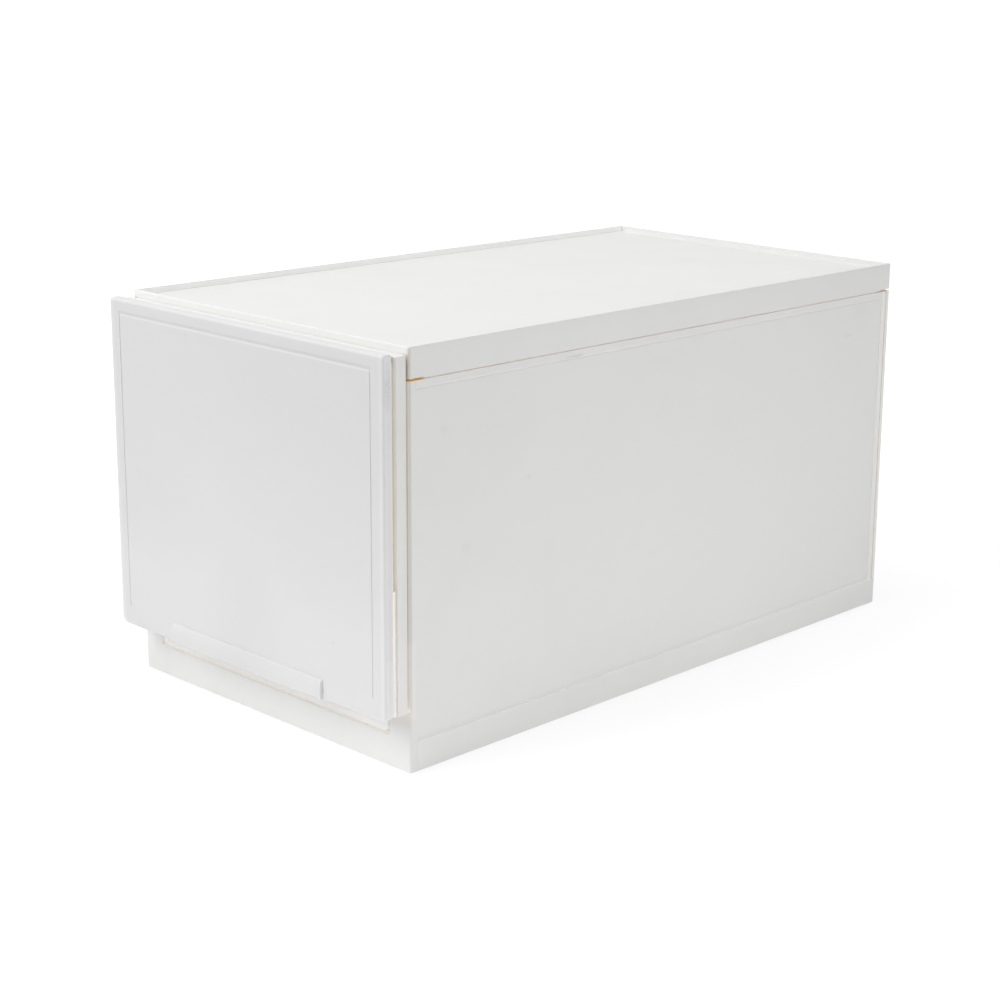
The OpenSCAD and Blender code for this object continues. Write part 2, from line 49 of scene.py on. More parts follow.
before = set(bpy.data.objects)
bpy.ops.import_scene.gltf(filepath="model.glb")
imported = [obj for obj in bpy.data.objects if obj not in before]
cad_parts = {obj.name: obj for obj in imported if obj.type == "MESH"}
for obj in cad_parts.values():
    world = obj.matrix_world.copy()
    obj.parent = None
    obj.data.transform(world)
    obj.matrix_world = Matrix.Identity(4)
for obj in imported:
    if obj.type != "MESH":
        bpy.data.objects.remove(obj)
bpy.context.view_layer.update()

X, Y, Z = 0, 1, 2
SNAP = 2e-5        # how near a point lies to a plane to count as on it
MERGE = 1e-4       # how near two points lie to be merged before edges are rounded
CLEAR = 2e-3       # how far a cutting tool stands out of what it cuts
ALONG = 0.9        # how far a normal points along an axis where its face looks that way
ACROSS = 0.1       # how far it points along it at most where the face runs that way
FLAT = radians(0.5)
SHARP = radians(32)
ROD_SIDES = 32

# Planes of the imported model
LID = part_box("lid")
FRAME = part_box("front_frame")
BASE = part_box("base_panel")
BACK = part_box("back_panel")
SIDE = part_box("side_panel_right")
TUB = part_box("drawer_tub")
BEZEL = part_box("front_bezel")
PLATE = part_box("front_mounting_plate")
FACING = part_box("front_facing")
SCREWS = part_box("facing_screws")
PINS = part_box("lid_pins_right")

SIDE_X = LID[1].x            # outer face of the side panels
FRONT_Y = LID[0].y           # front face of the case
BACK_Y = LID[1].y            # rear face of the case
TOP_Z = LID[1].z             # top of the lid's rim
SKIRT_Z = LID[0].z           # lower edge of the lid's skirt
WALL_TOP_Z = FRAME[1].z      # top edge of the case's walls
SHELL_Z = FRAME[0].z         # lower edge of the case above the foot ring
PLINTH_Z = BASE[1].z         # top edge of the plinth band
RETURN_Y = BASE[0].y         # seam between the front frame and the side panels
LAP_X = SIDE[0].x            # inner face of the side panels' lapped frame
LID_UNDER_Z = SIDE[1].z      # underside of the lid's plate
OPENING_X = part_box("stop_block_right")[0].x
PAST_X = SIDE_X + CLEAR      # past the case's right side
PAST_Y = FRONT_Y - CLEAR     # past the case's front


def length(name, description, default):
    """Length property in metres"""
    return FloatProperty(name=name, description=description, default=default, min=0.0,
                         precision=5, subtype="DISTANCE", unit="LENGTH")


def colour(name, description, default):
    return FloatVectorProperty(name=name, description=description, default=default, min=0.0,
                               max=1.0, size=3, subtype="COLOR")


def share(name, description, default, highest=1.0):
    return FloatProperty(name=name, description=description, default=default, min=0.0,
                         max=highest, precision=3, subtype="FACTOR")


def power(name, description, default):
    return FloatProperty(name=name, description=description, default=default, min=0.0,
                         unit="POWER")


class DrawerBoxCase(PropertyGroup):
    wall: length("Wall", "Wall thickness of the case panels", 0.0025)
    corner_radius: length("Corner radius", "Radius of the case's upright corners", 0.0015)
    inner_radius: length("Inner radius", "Radius inside the upright corners", 0.0005)
    edge_radius: length("Edge radius", "Radius of the moulded edges", 0.00035)
    rim_width: length("Rim width", "Width of the rim round the stacking tray", 0.0025)
    rim_radius: length("Rim radius", "Radius of the rim's outer edge", 0.0007)
    tray_depth: length("Tray depth", "Depth of the stacking tray", 0.0038)
    lid_ribs: IntProperty(name="Lid ribs", description="Number of ribs under the lid",
                          default=5, min=0)
    lid_rib_height: length("Lid rib height", "Height of the ribs under the lid", 0.003)
    notch_length: length("Notch length", "Length of the pry notches in the skirt", 0.012)
    notch_height: length("Notch height", "Height of the pry notches", 0.0007)
    pin_radius: length("Pin head radius", "Radius of the push pins' heads", 0.004)
    pin_bore: length("Pin bore", "Radius of the push pins' bores", 0.00215)
    pin_bite: length("Pin bite", "Depth of the push pins' bores in the skirt", 0.00155)
    field_depth: length("Field depth", "Depth of the recessed side and back fields", 0.0008)
    top_band: length("Top band", "Height of the band above the side field", 0.0047)
    rear_band: length("Rear band", "Width of the band behind the side field", 0.005)
    rear_return: length("Rear return", "Width of the back panel's return", 0.004)
    rear_seam: length("Rear seam", "Gap between side panel and back panel", 0.0008)
    back_border: length("Back border", "Width of the border round the back field", 0.014)
    back_lap: length("Back lap", "Height of the back panel's lower lap", 0.024)
    lap_post: length("Lap post", "Width of the lapped frame's uprights", 0.014)
    lap_low: length("Lap low", "Height of the lapped frame's lower band", 0.039)
    lap_high: length("Lap high", "Height of the lapped frame's upper band", 0.048)
    lap_gap: length("Lap gap", "Clearance between lapped parts", 0.0003)
    side_ribs: IntProperty(name="Side ribs", description="Number of ribs in a side panel",
                           default=5, min=0)
    rib_width: length("Rib width", "Width of the stiffening ribs", 0.002)
    stile: length("Stile", "Width of the stiles beside the drawer opening", 0.019)
    kick: length("Kick", "Height of the kick plate's top edge", 0.0215)
    head_rail: length("Head rail", "Height of the head rail over the opening", 0.0099)
    foot_width: length("Foot width", "Width of the foot ring", 0.004)
    foot_inset: length("Foot inset", "Set-in of the foot ring from the case's sides", 0.0035)
    bore: length("Screw bore", "Radius of the screw bores", 0.00165)
    screw_bite: length("Screw bite", "Depth of the screw bores in the side panels", 0.0033)
    rub_width: length("Rub width", "Width of the wear along the case's edges", 0.0012)


class DrawerBoxDrawer(PropertyGroup):
    tub_wall: length("Tub wall", "Wall thickness of the tub", 0.0022)
    tub_bead: length("Tub bead", "Inward width of the tub's rim bead", 0.002)
    tub_half: length("Tub half width", "Half of the tub's width", 0.1125)
    tub_corner: length("Tub corner", "Radius of the tub's rear corners", 0.006)
    tub_edge: length("Tub edge", "Radius of the tub's lower side edges", 0.003)
    ear_hold: length("Ear hold", "Distance of the stop ears from the tub's rear", 0.0494)
    ear_low: length("Ear low", "Height of the stop ears' lower edge", 0.0635)
    ear_height: length("Ear height", "Height of the stop ears", 0.016)
    ear_thickness: length("Ear thickness", "Thickness of the stop ears", 0.0044)
    gusset: length("Gusset", "Thickness of the gussets behind the ears", 0.002)
    screw_head: length("Screw head", "Radius of the facing screws' heads", 0.00325)
    bore: length("Screw bore", "Radius of the screw bores", 0.00165)
    boss: length("Boss", "Radius of the screw bosses", 0.0045)
    bezel_wall: length("Bezel wall", "Wall thickness of the bezel", 0.0022)
    bezel_gap: length("Bezel gap", "Gap between the bezel and the case", 0.002)
    rebate_width: length("Rebate width", "Width of the rebate round the bezel", 0.004)
    rebate_depth: length("Rebate depth", "Depth of the rebate round the bezel", 0.0011)
    plate_step: length("Plate step", "Height above which the plate is narrower", 0.1185)
    pocket_half: length("Pocket half width", "Half of the finger pocket's width", 0.078)
    pocket_top: length("Pocket top", "Height of the finger pocket's roof", 0.0547)
    facing_skin: length("Facing skin", "Thickness of the facing", 0.0022)
    facing_gap: length("Facing gap", "Gap between the facing and the plate", 0.0009)
    facing_round: length("Facing edge", "Radius of the facing's front edges and upper corners",
                         0.0018)
    low_corner: length("Lower corners", "Radius of the facing's lower corners", 0.0048)
    plate_corner: length("Plate corners", "Radius of the plate's lower corners", 0.0020)
    edge_radius: length("Edge radius", "Radius of the facing's small edges", 0.00018)
    groove_border: length("Groove border", "Width outside the groove", 0.010)
    groove_top: length("Groove top", "Height above the groove", 0.008)
    groove_width: length("Groove width", "Width of the groove", 0.0016)
    groove_depth: length("Groove depth", "Depth of the groove", 0.0003)
    groove_end: length("Groove end", "Height of the groove's ends over the edge", 0.0135)
    lip_half: length("Lip half width", "Half of the finger lip's width", 0.075)
    lip_height: length("Lip height", "Height of the finger lip", 0.013)
    lip_out: length("Lip out", "How far the finger lip stands out", 0.0022)
    lip_lift: length("Lip lift", "Height of the lip's underside over the facing's", 0.00035)
    lip_hollow: length("Lip hollow", "Depth of the hollow in the lip's rear", 0.00132)
    lip_roof: length("Lip roof", "Thickness of the lip over that hollow", 0.0033)
    rub_width: length("Rub width", "Width of the wear along the facing's edges", 0.0010)


class DrawerBoxFinish(PropertyGroup):
    case_plastic: colour("Case plastic", "Warm white of the case", (0.84, 0.84, 0.832))
    tub_plastic: colour("Tub plastic", "White of the tub and bezel", (0.84, 0.837, 0.822))
    facing_plastic: colour("Facing plastic", "Cool white of the facing", (0.72, 0.72, 0.726))
    # Painted light: a brighter tone on the lid's front face, where light falls on it
    lid_front_painted_light: colour("Lid front", "Bright front edge of the lid", (0.93, 0.93, 0.915))
    # Painted light: a brighter tone for the facing's sides and the lip's ends
    facing_side_painted_light: colour("Facing rim", "Bright sides of the facing", (0.81, 0.81, 0.816))
    # Painted light: a brighter tone for the facing's lower right field
    facing_low_painted_light: colour("Facing low", "Cleaner lower right field", (0.785, 0.785, 0.791))
    shaded: colour("Shaded", "Warm shade along the case's front corners", (0.66, 0.63, 0.58))
    # Painted light: a paler tone on the side's rear band, which faces the light
    rear_edge_painted_light: colour("Rear edge", "Pale cream band at the rear corners", (0.91, 0.90, 0.87))
    # Warm tone of the seams, also laid as painted shadow on the kick under the bezel's end
    seam_yellow_and_shadow: colour("Yellowed", "Plastic that has yellowed in the seams", (0.82, 0.78, 0.72))
    front_seam: colour("Front seam", "Yellowed plastic behind the facing", (0.82, 0.77, 0.69))
    # Darker brown tone laid in the rear pry notches
    rear_notch: colour("Rear notch", "Brown dust in the rear pry notches", (0.62, 0.46, 0.30))
    # Painted light: the amber tone and emission in the front pry notches
    notch_amber_light: colour("Amber", "Plastic in the pry notches with light behind it", (0.62, 0.35, 0.004))
    seam_stain: colour("Seam stain", "Old dust in the seams", (0.66, 0.60, 0.52))
    # Painted light: emission that lifts the shade in the lid's seam and in the seam over the kick
    lid_seam_painted_light: share("Lid seam glow", "Light through the walls at the lid's seam", 0.14)
    kick_seam_painted_light: share("Kick seam glow", "Light through the walls over the kick", 0.31)
    # Painted light: emission that lifts the shade in the seam behind the facing
    front_seam_painted_light: share("Front seam glow", "Light in the seam behind the facing", 0.51)
    gap_shade: colour("Gap shade", "Warm shade in the gap behind the bezel", (0.68, 0.63, 0.54))
    lid_gap_shade: colour("Lid gap shade", "Brown shade in that gap at the lid", (0.74, 0.62, 0.43))
    # Painted light: a brighter tone for the bezel's lower part, lit from the floor
    tub_low_painted_light: colour("Tub low", "Brighter lower part of the bezel", (0.90, 0.89, 0.875))
    # Painted light: a brighter warm tone for the tub's front wall in the shade over the kick
    tub_wall: colour("Tub wall", "Warm front wall over the kick", (0.86, 0.853, 0.835))
    # Painted shade: a darker tone for the facing's upper and left field
    facing_high_painted_shade: colour("Facing high", "Duller upper field", (0.690, 0.690, 0.696))
    # Painted light: a brighter tone for the lower part of the facing's sides
    side_low_painted_light: colour("Side low", "Brighter lower part of the facing's sides", (0.87, 0.87, 0.876))
    # Painted light: emission in the shaded gap behind the bezel
    gap_painted_light: share("Gap glow", "Light in the gap behind the bezel", 0.31)
    # Painted light: emission in the lower part of the facing's seam
    plate_painted_light: share("Plate glow", "Light in the lower part of the facing's seam", 0.24)
    # Painted light: emission in the front pry notches
    notch_painted_light: share("Notch glow", "Light through the pry notches", 0.12)
    # Painted light: emission that lifts the shade on the rim's inner face
    rim_painted_light: share("Rim glow", "Light through the rim round the tray", 0.18)
    stain: colour("Stain", "Old handling marks", (0.70, 0.69, 0.665))
    # Grey of the rubber scuffs, also laid as painted shade on the groove's top wall
    scuff_and_shade_grey: colour("Grey mark", "Scuffs of dark rubber", (0.42, 0.42, 0.42))
    steel: colour("Steel", "Zinc plated steel", (0.62, 0.63, 0.65))
    steel_stain: colour("Steel stain", "Dull spangle of the zinc", (0.48, 0.47, 0.42))


class DrawerBoxStage(PropertyGroup):
    camera_place: FloatVectorProperty(name="Camera", description="Place of the camera",
                                      default=(0.98773, -1.00271, 0.48725), size=3,
                                      subtype="TRANSLATION", unit="LENGTH")
    azimuth: FloatProperty(name="Azimuth", description="Turn of the camera about the vertical",
                           default=radians(42.70), subtype="ANGLE", unit="ROTATION")
    elevation: FloatProperty(name="Elevation", description="How far the camera looks down",
                             default=radians(14.46), subtype="ANGLE", unit="ROTATION")
    roll: FloatProperty(name="Roll", description="Tilt of the camera about its view",
                        default=radians(0.96), subtype="ANGLE", unit="ROTATION")
    lens: FloatProperty(name="Lens", description="Focal length in millimetres",
                        default=74.16, min=1.0, unit="CAMERA")
    shift_x: FloatProperty(name="Shift X", description="Sideways shift", default=-0.0867)
    shift_y: FloatProperty(name="Shift Y", description="Upward shift", default=-0.0291)
    key_watts: power("Key", "Power of the large lamp at the front left", 40.6)
    top_watts: power("Top", "Power of the lamp overhead", 19.2)
    fill_watts: power("Fill", "Power of the lamp at the right", 13.3)
    front_pool: share("Front pool", "Light off the bright floor before the front", 0.162, 9.0)
    side_pool: share("Side pool", "Light off the bright floor beside the right side", 0.477, 9.0)
    sky: share("Sky", "Strength of the even light all round", 0.245, 5.0)
    floor_light: share("Floor light", "Light of the pale floor as the camera sees it", 0.72)
    floor_shade: share("Floor shade", "How much of the shadow the camera sees", 0.34)
    floor_reach: length("Floor reach", "Distance at which the floor turns white", 1.2)
    floor_colour: share("Floor colour", "Paleness of the floor for bounced light", 0.88)


# ---- Modelling by hand ----

def deselect():
    bpy.ops.object.select_all(action="DESELECT")


def activate(piece):
    deselect()
    piece.select_set(True)
    bpy.context.view_layer.objects.active = piece


def done(result, what):
    """Raises an error where an operator was cancelled"""
    if "FINISHED" not in result:
        raise RuntimeError(f"{what} was cancelled")


@contextmanager
def editing(piece, elements):
    """Edit mode on one piece, with nothing selected"""
    activate(piece)
    bpy.ops.object.mode_set(mode="EDIT")
    bpy.ops.mesh.select_mode(type=elements)
    bpy.ops.mesh.select_all(action="DESELECT")
    yield
    bpy.ops.object.mode_set(mode="OBJECT")


def pick_edges(piece, test):
    """Selects the edges whose two ends pass a test"""
    mesh = bmesh.from_edit_mesh(piece.data)
    for edge in mesh.edges:
        if test(edge.verts[0].co, edge.verts[1].co):
            edge.select_set(True)
    bmesh.update_edit_mesh(piece.data)


def pick_points(piece, test):
    """Selects the vertices that pass a test"""
    mesh = bmesh.from_edit_mesh(piece.data)
    for vertex in mesh.verts:
        if test(vertex.co):
            vertex.select_set(True)
    bmesh.update_edit_mesh(piece.data)


def face_on(axis, place, sign):
    """Test for the faces on a plane that look along an axis"""
    return lambda centre, normal: abs(centre[axis] - place) < SNAP and normal[axis] * sign > ALONG


def edge_in(axis, place):
    """Test for the edges that lie in a plane"""
    return lambda a, b: abs(a[axis] - place) < SNAP and abs(b[axis] - place) < SNAP


def edge_along(axis, **places):
    """Test for the edges that run along an axis, at places given for the other axes"""
    others = [("xyz".index(name), place) for name, place in places.items()]

    def test(a, b):
        runs = all(abs(a[i] - b[i]) < SNAP for i in (X, Y, Z) if i != axis)
        return runs and all(abs(a[i] - place) < SNAP for i, place in others)
    return test


def block(name, low, high):
    """Box between two corners"""
    deselect()
    size = [b - a for a, b in zip(low, high)]
    centre = [(a + b) / 2 for a, b in zip(low, high)]
    bpy.ops.mesh.primitive_cube_add(size=1, location=centre, scale=size)
    piece = bpy.context.object
    piece.name = piece.data.name = name
    bpy.ops.object.transform_apply(location=True, rotation=True, scale=True)
    return piece


def rod(axis, centre, radius, start, end):
    """Cylinder along an axis from start to end, through a centre on the other two axes"""
    deselect()
    place = list(centre)
    place[axis] = (start + end) / 2
    turn = {X: (0, pi / 2, 0), Y: (pi / 2, 0, 0), Z: (0, 0, 0)}[axis]
    bpy.ops.mesh.primitive_cylinder_add(vertices=ROD_SIDES, radius=radius, depth=end - start,
                                        location=place, rotation=turn)
    bpy.ops.object.transform_apply(location=True, rotation=True, scale=True)
    return bpy.context.object


def apply(piece, modifier):
    activate(piece)
    name = modifier.name
    done(bpy.ops.object.modifier_apply(modifier=name), f"{name} on {piece.name}")


def combine(piece, tool, operation):
    """Boolean of a piece with a tool, which is used up"""
    modifier = piece.modifiers.new("combine", "BOOLEAN")
    modifier.operation = operation
    modifier.solver = "EXACT"
    modifier.object = tool
    apply(piece, modifier)
    bpy.data.objects.remove(tool)


def joined(parts):
    """Joins parts that don't touch one another into one tool"""
    activate(parts[0])
    for part in parts:
        part.select_set(True)
    bpy.ops.object.join()
    return bpy.context.object


def cut(piece, *tools):
    combine(piece, joined(tools), "DIFFERENCE")


def fuse(piece, *parts):
    combine(piece, joined(parts), "UNION")


def cut_box(piece, low, high):
    cut(piece, block("tool", low, high))


def fuse_box(piece, low, high):
    fuse(piece, block("tool", low, high))


def round_edges(piece, test, radius, segments=6):
    """Rounds the edges that pass a test, or chamfers them with one segment"""
    with editing(piece, "EDGE"):
        pick_edges(piece, test)
        done(bpy.ops.mesh.bevel(offset=radius, segments=segments, affect="EDGES", profile=0.5),
             f"rounding of {piece.name}")
        bpy.ops.mesh.select_all(action="SELECT")
        bpy.ops.mesh.remove_doubles(threshold=SNAP)


def slice_at(piece, axis, place):
    """Adds an edge loop all round at a plane"""
    point, normal = [0.0, 0.0, 0.0], [0.0, 0.0, 0.0]
    point[axis], normal[axis] = place, 1.0
    with editing(piece, "FACE"):
        bpy.ops.mesh.select_all(action="SELECT")
        done(bpy.ops.mesh.bisect(plane_co=point, plane_no=normal), f"slice of {piece.name}")


def shift(piece, test, offset):
    """Moves the vertices that pass a test"""
    with editing(piece, "VERT"):
        pick_points(piece, test)
        done(bpy.ops.transform.translate(value=offset), f"shift in {piece.name}")


def mirrored(piece, name):
    """Copy of a piece on the other side, turned right side out"""
    activate(piece)
    bpy.ops.object.duplicate(linked=False)
    copy = bpy.context.object
    copy.name = copy.data.name = name
    with editing(copy, "FACE"):
        bpy.ops.mesh.select_all(action="SELECT")
        bpy.ops.transform.resize(value=(-1, 1, 1), center_override=(0, 0, 0))
        bpy.ops.mesh.normals_make_consistent(inside=False)
    return copy


def finish_edges(piece, radius, segments=3):
    """Merges flat faces and rounds every sharp edge a little"""
    with editing(piece, "FACE"):
        bpy.ops.mesh.select_all(action="SELECT")
        bpy.ops.mesh.dissolve_limited(angle_limit=FLAT)
        bpy.ops.mesh.remove_doubles(threshold=MERGE)
        bpy.ops.mesh.dissolve_degenerate(threshold=SNAP)
        bpy.ops.mesh.dissolve_limited(angle_limit=FLAT)
    bevel = piece.modifiers.new("moulded edges", "BEVEL")
    bevel.width = radius
    bevel.segments = segments
    bevel.limit_method = "ANGLE"
    bevel.angle_limit = SHARP
    apply(piece, bevel)


def dress(piece, body, slot, nodes, *materials):
    """Gives a finished piece its shading, its materials and its body, and hides the imported nodes
    it replaces
    """
    activate(piece)
    bpy.ops.object.shade_smooth_by_angle(angle=SHARP)
    weights = piece.modifiers.new("flat faces first", "WEIGHTED_NORMAL")
    weights.keep_sharp = True
    apply(piece, weights)
    for name in materials:
        piece.data.materials.append(bpy.data.materials[name])
    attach(piece, body)
    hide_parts(*nodes)


def paint(piece, index, test):
    """Gives the faces whose centre and normal pass a test another of the piece's materials"""
    for face in piece.data.polygons:
        if test(face.center, face.normal):
            face.material_index = index


# ---- Shader node groups ----

SOCKET_KINDS = {float: "NodeSocketFloat", Vector: "NodeSocketVector", tuple: "NodeSocketColor"}
BOX_INPUTS = {"Centre": Vector(), "Half size": Vector((1, 1, 1))}


def feed(tree, socket, value):
    """Sets an input to a value, or links another node's output to it"""
    if isinstance(value, NodeSocket):
        tree.links.new(value, socket)
    else:
        socket.default_value = value


def add(tree, kind, inputs=None, **settings):
    """Adds a node, whose inputs take values or other nodes' outputs"""
    made = tree.nodes.new(kind)
    for name, value in settings.items():
        setattr(made, name, value)
    for socket, value in (inputs or {}).items():
        feed(tree, made.inputs[socket], value)
    return made


def maths(tree, operation, *values):
    return add(tree, "ShaderNodeMath", dict(enumerate(values)), operation=operation).outputs[0]


def vectors(tree, operation, *values, output="Vector"):
    made = add(tree, "ShaderNodeVectorMath", dict(enumerate(values)), operation=operation)
    return made.outputs[output]


def over_axes(tree, operation, axes):
    """Least, most or total of the three axes"""
    return maths(tree, operation, maths(tree, operation, axes[X], axes[Y]), axes[Z])


def remap(tree, value, low, high, to_low=0.0, to_high=1.0):
    """Smooth step from one range to another"""
    made = add(tree, "ShaderNodeMapRange",
               {"Value": value, "From Min": low, "From Max": high, "To Min": to_low,
                "To Max": to_high}, interpolation_type="SMOOTHSTEP")
    return made.outputs["Result"]


def mix_colour(tree, factor, first, second):
    factor_in, first_in, second_in, colour_out = 0, 6, 7, 2
    made = add(tree, "ShaderNodeMix", {factor_in: factor, first_in: first, second_in: second},
               data_type="RGBA")
    return made.outputs[colour_out]


def noise(tree, place, size, detail, roughness=0.5):
    """Noise with patches of about a size in metres"""
    scale = maths(tree, "DIVIDE", 1.0, size) if isinstance(size, NodeSocket) else 1 / size
    made = add(tree, "ShaderNodeTexNoise", {"Vector": place, "Scale": scale, "Detail": detail,
                                            "Roughness": roughness})
    return made.outputs[0]


def group_tree(name, result, inputs, result_kind="NodeSocketFloat"):
    """Node group with a place and other named values as its inputs, and one output"""
    tree = bpy.data.node_groups.new(name, "ShaderNodeTree")
    for label, default in {"Vector": Vector(), **inputs}.items():
        socket = tree.interface.new_socket(label, in_out="INPUT",
                                           socket_type=SOCKET_KINDS[type(default)])
        socket.default_value = default
    tree.interface.new_socket(result, in_out="OUTPUT", socket_type=result_kind)
    given = tree.nodes.new("NodeGroupInput").outputs
    return tree, given, tree.nodes.new("NodeGroupOutput").inputs[result]


def place_group(tree, name, inputs):
    """Places a node group in a tree with its own values"""
    return add(tree, "ShaderNodeGroup", inputs, node_tree=bpy.data.node_groups[name]).outputs[0]


def depth_in_box(tree, given):
    """Depth inside the faces of a box along each axis"""
    offset = vectors(tree, "SUBTRACT", given["Vector"], given["Centre"])
    depth = vectors(tree, "SUBTRACT", given["Half size"], vectors(tree, "ABSOLUTE", offset))
    return add(tree, "ShaderNodeSeparateXYZ", {0: depth}).outputs


def build_grain_group():
    """Fine spark-eroded grain over broad sink marks, as a height in metres"""
    tree, given, height = group_tree("Moulded grain", "Height", {
        "Grain size": 0.0006, "Grain depth": 3e-6, "Sink size": 0.05, "Sink depth": 3e-5})
    heights = []
    for kind, detail in (("Grain", 2.0), ("Sink", 1.0)):
        relief = noise(tree, given["Vector"], given[kind + " size"], detail)
        heights.append(maths(tree, "MULTIPLY", relief, given[kind + " depth"]))
    feed(tree, height, maths(tree, "ADD", *heights))


def build_patina_group():
    """Uneven tone of old plastic: a stain colour over the base in soft patches"""
    tree, given, tone = group_tree("Plastic patina", "Color", {
        "Color": (0.8, 0.8, 0.8, 1.0), "Stain": (0.6, 0.6, 0.6, 1.0), "Amount": 0.1,
        "Patch size": 0.08}, "NodeSocketColor")
    uneven = noise(tree, given["Vector"], given["Patch size"], detail=5.0, roughness=0.6)
    patches = remap(tree, uneven, low=0.42, high=0.75)
    factor = maths(tree, "MULTIPLY", patches, given["Amount"])
    feed(tree, tone, mix_colour(tree, factor, given["Color"], given["Stain"]))


def build_edge_group():
    """Broken line of wear along the edges of a box, from its centre and half size"""
    tree, given, mask = group_tree("Edge rub", "Mask", {
        **BOX_INPUTS, "Width": 0.001, "Nick size": 0.012, "Nick edge": 0.12, "Cover": 0.5})
    axes = depth_in_box(tree, given)
    least, most, total = (over_axes(tree, operation, axes)
                          for operation in ("MINIMUM", "MAXIMUM", "ADD"))
    middle = maths(tree, "SUBTRACT", maths(tree, "SUBTRACT", total, least), most)
    near = remap(tree, middle, 0.0, given["Width"], to_low=1.0, to_high=0.0)
    nicks = noise(tree, given["Vector"], given["Nick size"], detail=4.0, roughness=0.7)
    start = maths(tree, "SUBTRACT", 1.0, given["Cover"])
    broken = remap(tree, nicks, start, maths(tree, "ADD", start, given["Nick edge"]))
    feed(tree, mask, maths(tree, "MULTIPLY", near, broken))


def build_scuff_group():
    """Soft-edged mark with a broken middle, at a centre and of a size along each axis"""
    tree, given, mask = group_tree("Scuff", "Mask", {
        "Centre": Vector(), "Size": Vector((0.01, 0.01, 0.01)), "Fleck size": 0.0015})
    offset = vectors(tree, "SUBTRACT", given["Vector"], given["Centre"])
    reach = vectors(tree, "DIVIDE", offset, given["Size"])
    far = vectors(tree, "LENGTH", reach, output="Value")
    body = remap(tree, far, low=0.25, high=1.0, to_low=1.0, to_high=0.0)
    uneven = noise(tree, given["Vector"], given["Fleck size"], detail=3.0)
    flecks = remap(tree, uneven, low=0.38, high=0.62, to_low=0.35)
    feed(tree, mask, maths(tree, "MULTIPLY", body, flecks))


def build_zone_group():
    """Zone of a box with soft edges, from its centre and half size"""
    tree, given, mask = group_tree("Soft zone", "Mask", {**BOX_INPUTS, "Softness": 0.001})
    least = over_axes(tree, "MINIMUM", depth_in_box(tree, given))
    outside = maths(tree, "MULTIPLY", given["Softness"], -1.0)
    feed(tree, mask, remap(tree, least, outside, given["Softness"]))


def build_pool_group():
    """Pool of light on the floor that fades out from its centre"""
    tree, given, mask = group_tree("Light pool", "Mask", {"Centre": Vector(), "Radius": 1.0})
    far = vectors(tree, "DISTANCE", given["Vector"], given["Centre"], output="Value")
    feed(tree, mask, remap(tree, far, 0.0, given["Radius"], to_low=1.0, to_high=0.0))


# ---- Materials ----

# Roughness of the glossiest and of the dullest patches, and the size of a patch
PLASTIC_SHEEN = (0.40, 0.52, 0.05)
SEAM_SHEEN = (0.50, 0.62, 0.03)
STEEL_SHEEN = (0.28, 0.42, 0.001)

Zone = namedtuple("Zone", "low high soft tone cover glow both_sides")


def zone(x, y, z, soft, tone=None, cover=1.0, glow=0.0, both_sides=True):
    """Zone between two places on each axis, with the tone that covers it and the painted light
    (emission) in it
    """
    low, high = (Vector(corner) for corner in zip(x, y, z))
    return Zone(low, high, soft, tone, cover, glow, both_sides)


def opaque(rgb):
    return (*rgb, 1.0)


def grey(value):
    return (value, value, value, 1.0)


def cleared_tree(owner):
    """Empty node tree of a material or a world"""
    owner.use_nodes = True
    owner.node_tree.nodes.clear()
    return owner.node_tree


def new_material(name):
    """Material with its shader, its output and the piece's own coordinates"""
    tree = cleared_tree(bpy.data.materials.new(name))
    shader = tree.nodes.new("ShaderNodeBsdfPrincipled")
    add(tree, "ShaderNodeOutputMaterial", {"Surface": shader.outputs[0]})
    return tree, shader, tree.nodes.new("ShaderNodeTexCoord").outputs["Object"]


def stained(tree, place, tone, stain, amount, patch):
    """Tone with soft patches of a stain over it"""
    return place_group(tree, "Plastic patina", {
        "Vector": place, "Color": opaque(tone), "Stain": opaque(stain), "Amount": amount,
        "Patch size": patch})


def coat(tree, shader, place, surface, sheen, grain=3e-6, sink=3e-5, grain_size=0.0006):
    """Gives a shader its colour, patches of more and less gloss, and grain with sink marks"""
    feed(tree, shader.inputs["Base Color"], surface)
    glossy, dull, size = sheen
    patches = noise(tree, place, size, detail=4.0)
    rough = remap(tree, patches, low=0.3, high=0.7, to_low=glossy, to_high=dull)
    feed(tree, shader.inputs["Roughness"], rough)
    height = place_group(tree, "Moulded grain",
                         {"Vector": place, "Grain depth": grain, "Sink depth": sink,
                          "Grain size": grain_size})
    bump = add(tree, "ShaderNodeBump", {"Height": height, "Strength": 1.0, "Distance": 1.0})
    feed(tree, shader.inputs["Normal"], bump.outputs[0])


def folded(tree, place):
    """Coordinates with the left half laid over the right one"""
    axes = add(tree, "ShaderNodeSeparateXYZ", {0: place}).outputs
    across = maths(tree, "ABSOLUTE", axes[X])
    return add(tree, "ShaderNodeCombineXYZ", {X: across, Y: axes[Y], Z: axes[Z]}).outputs[0]


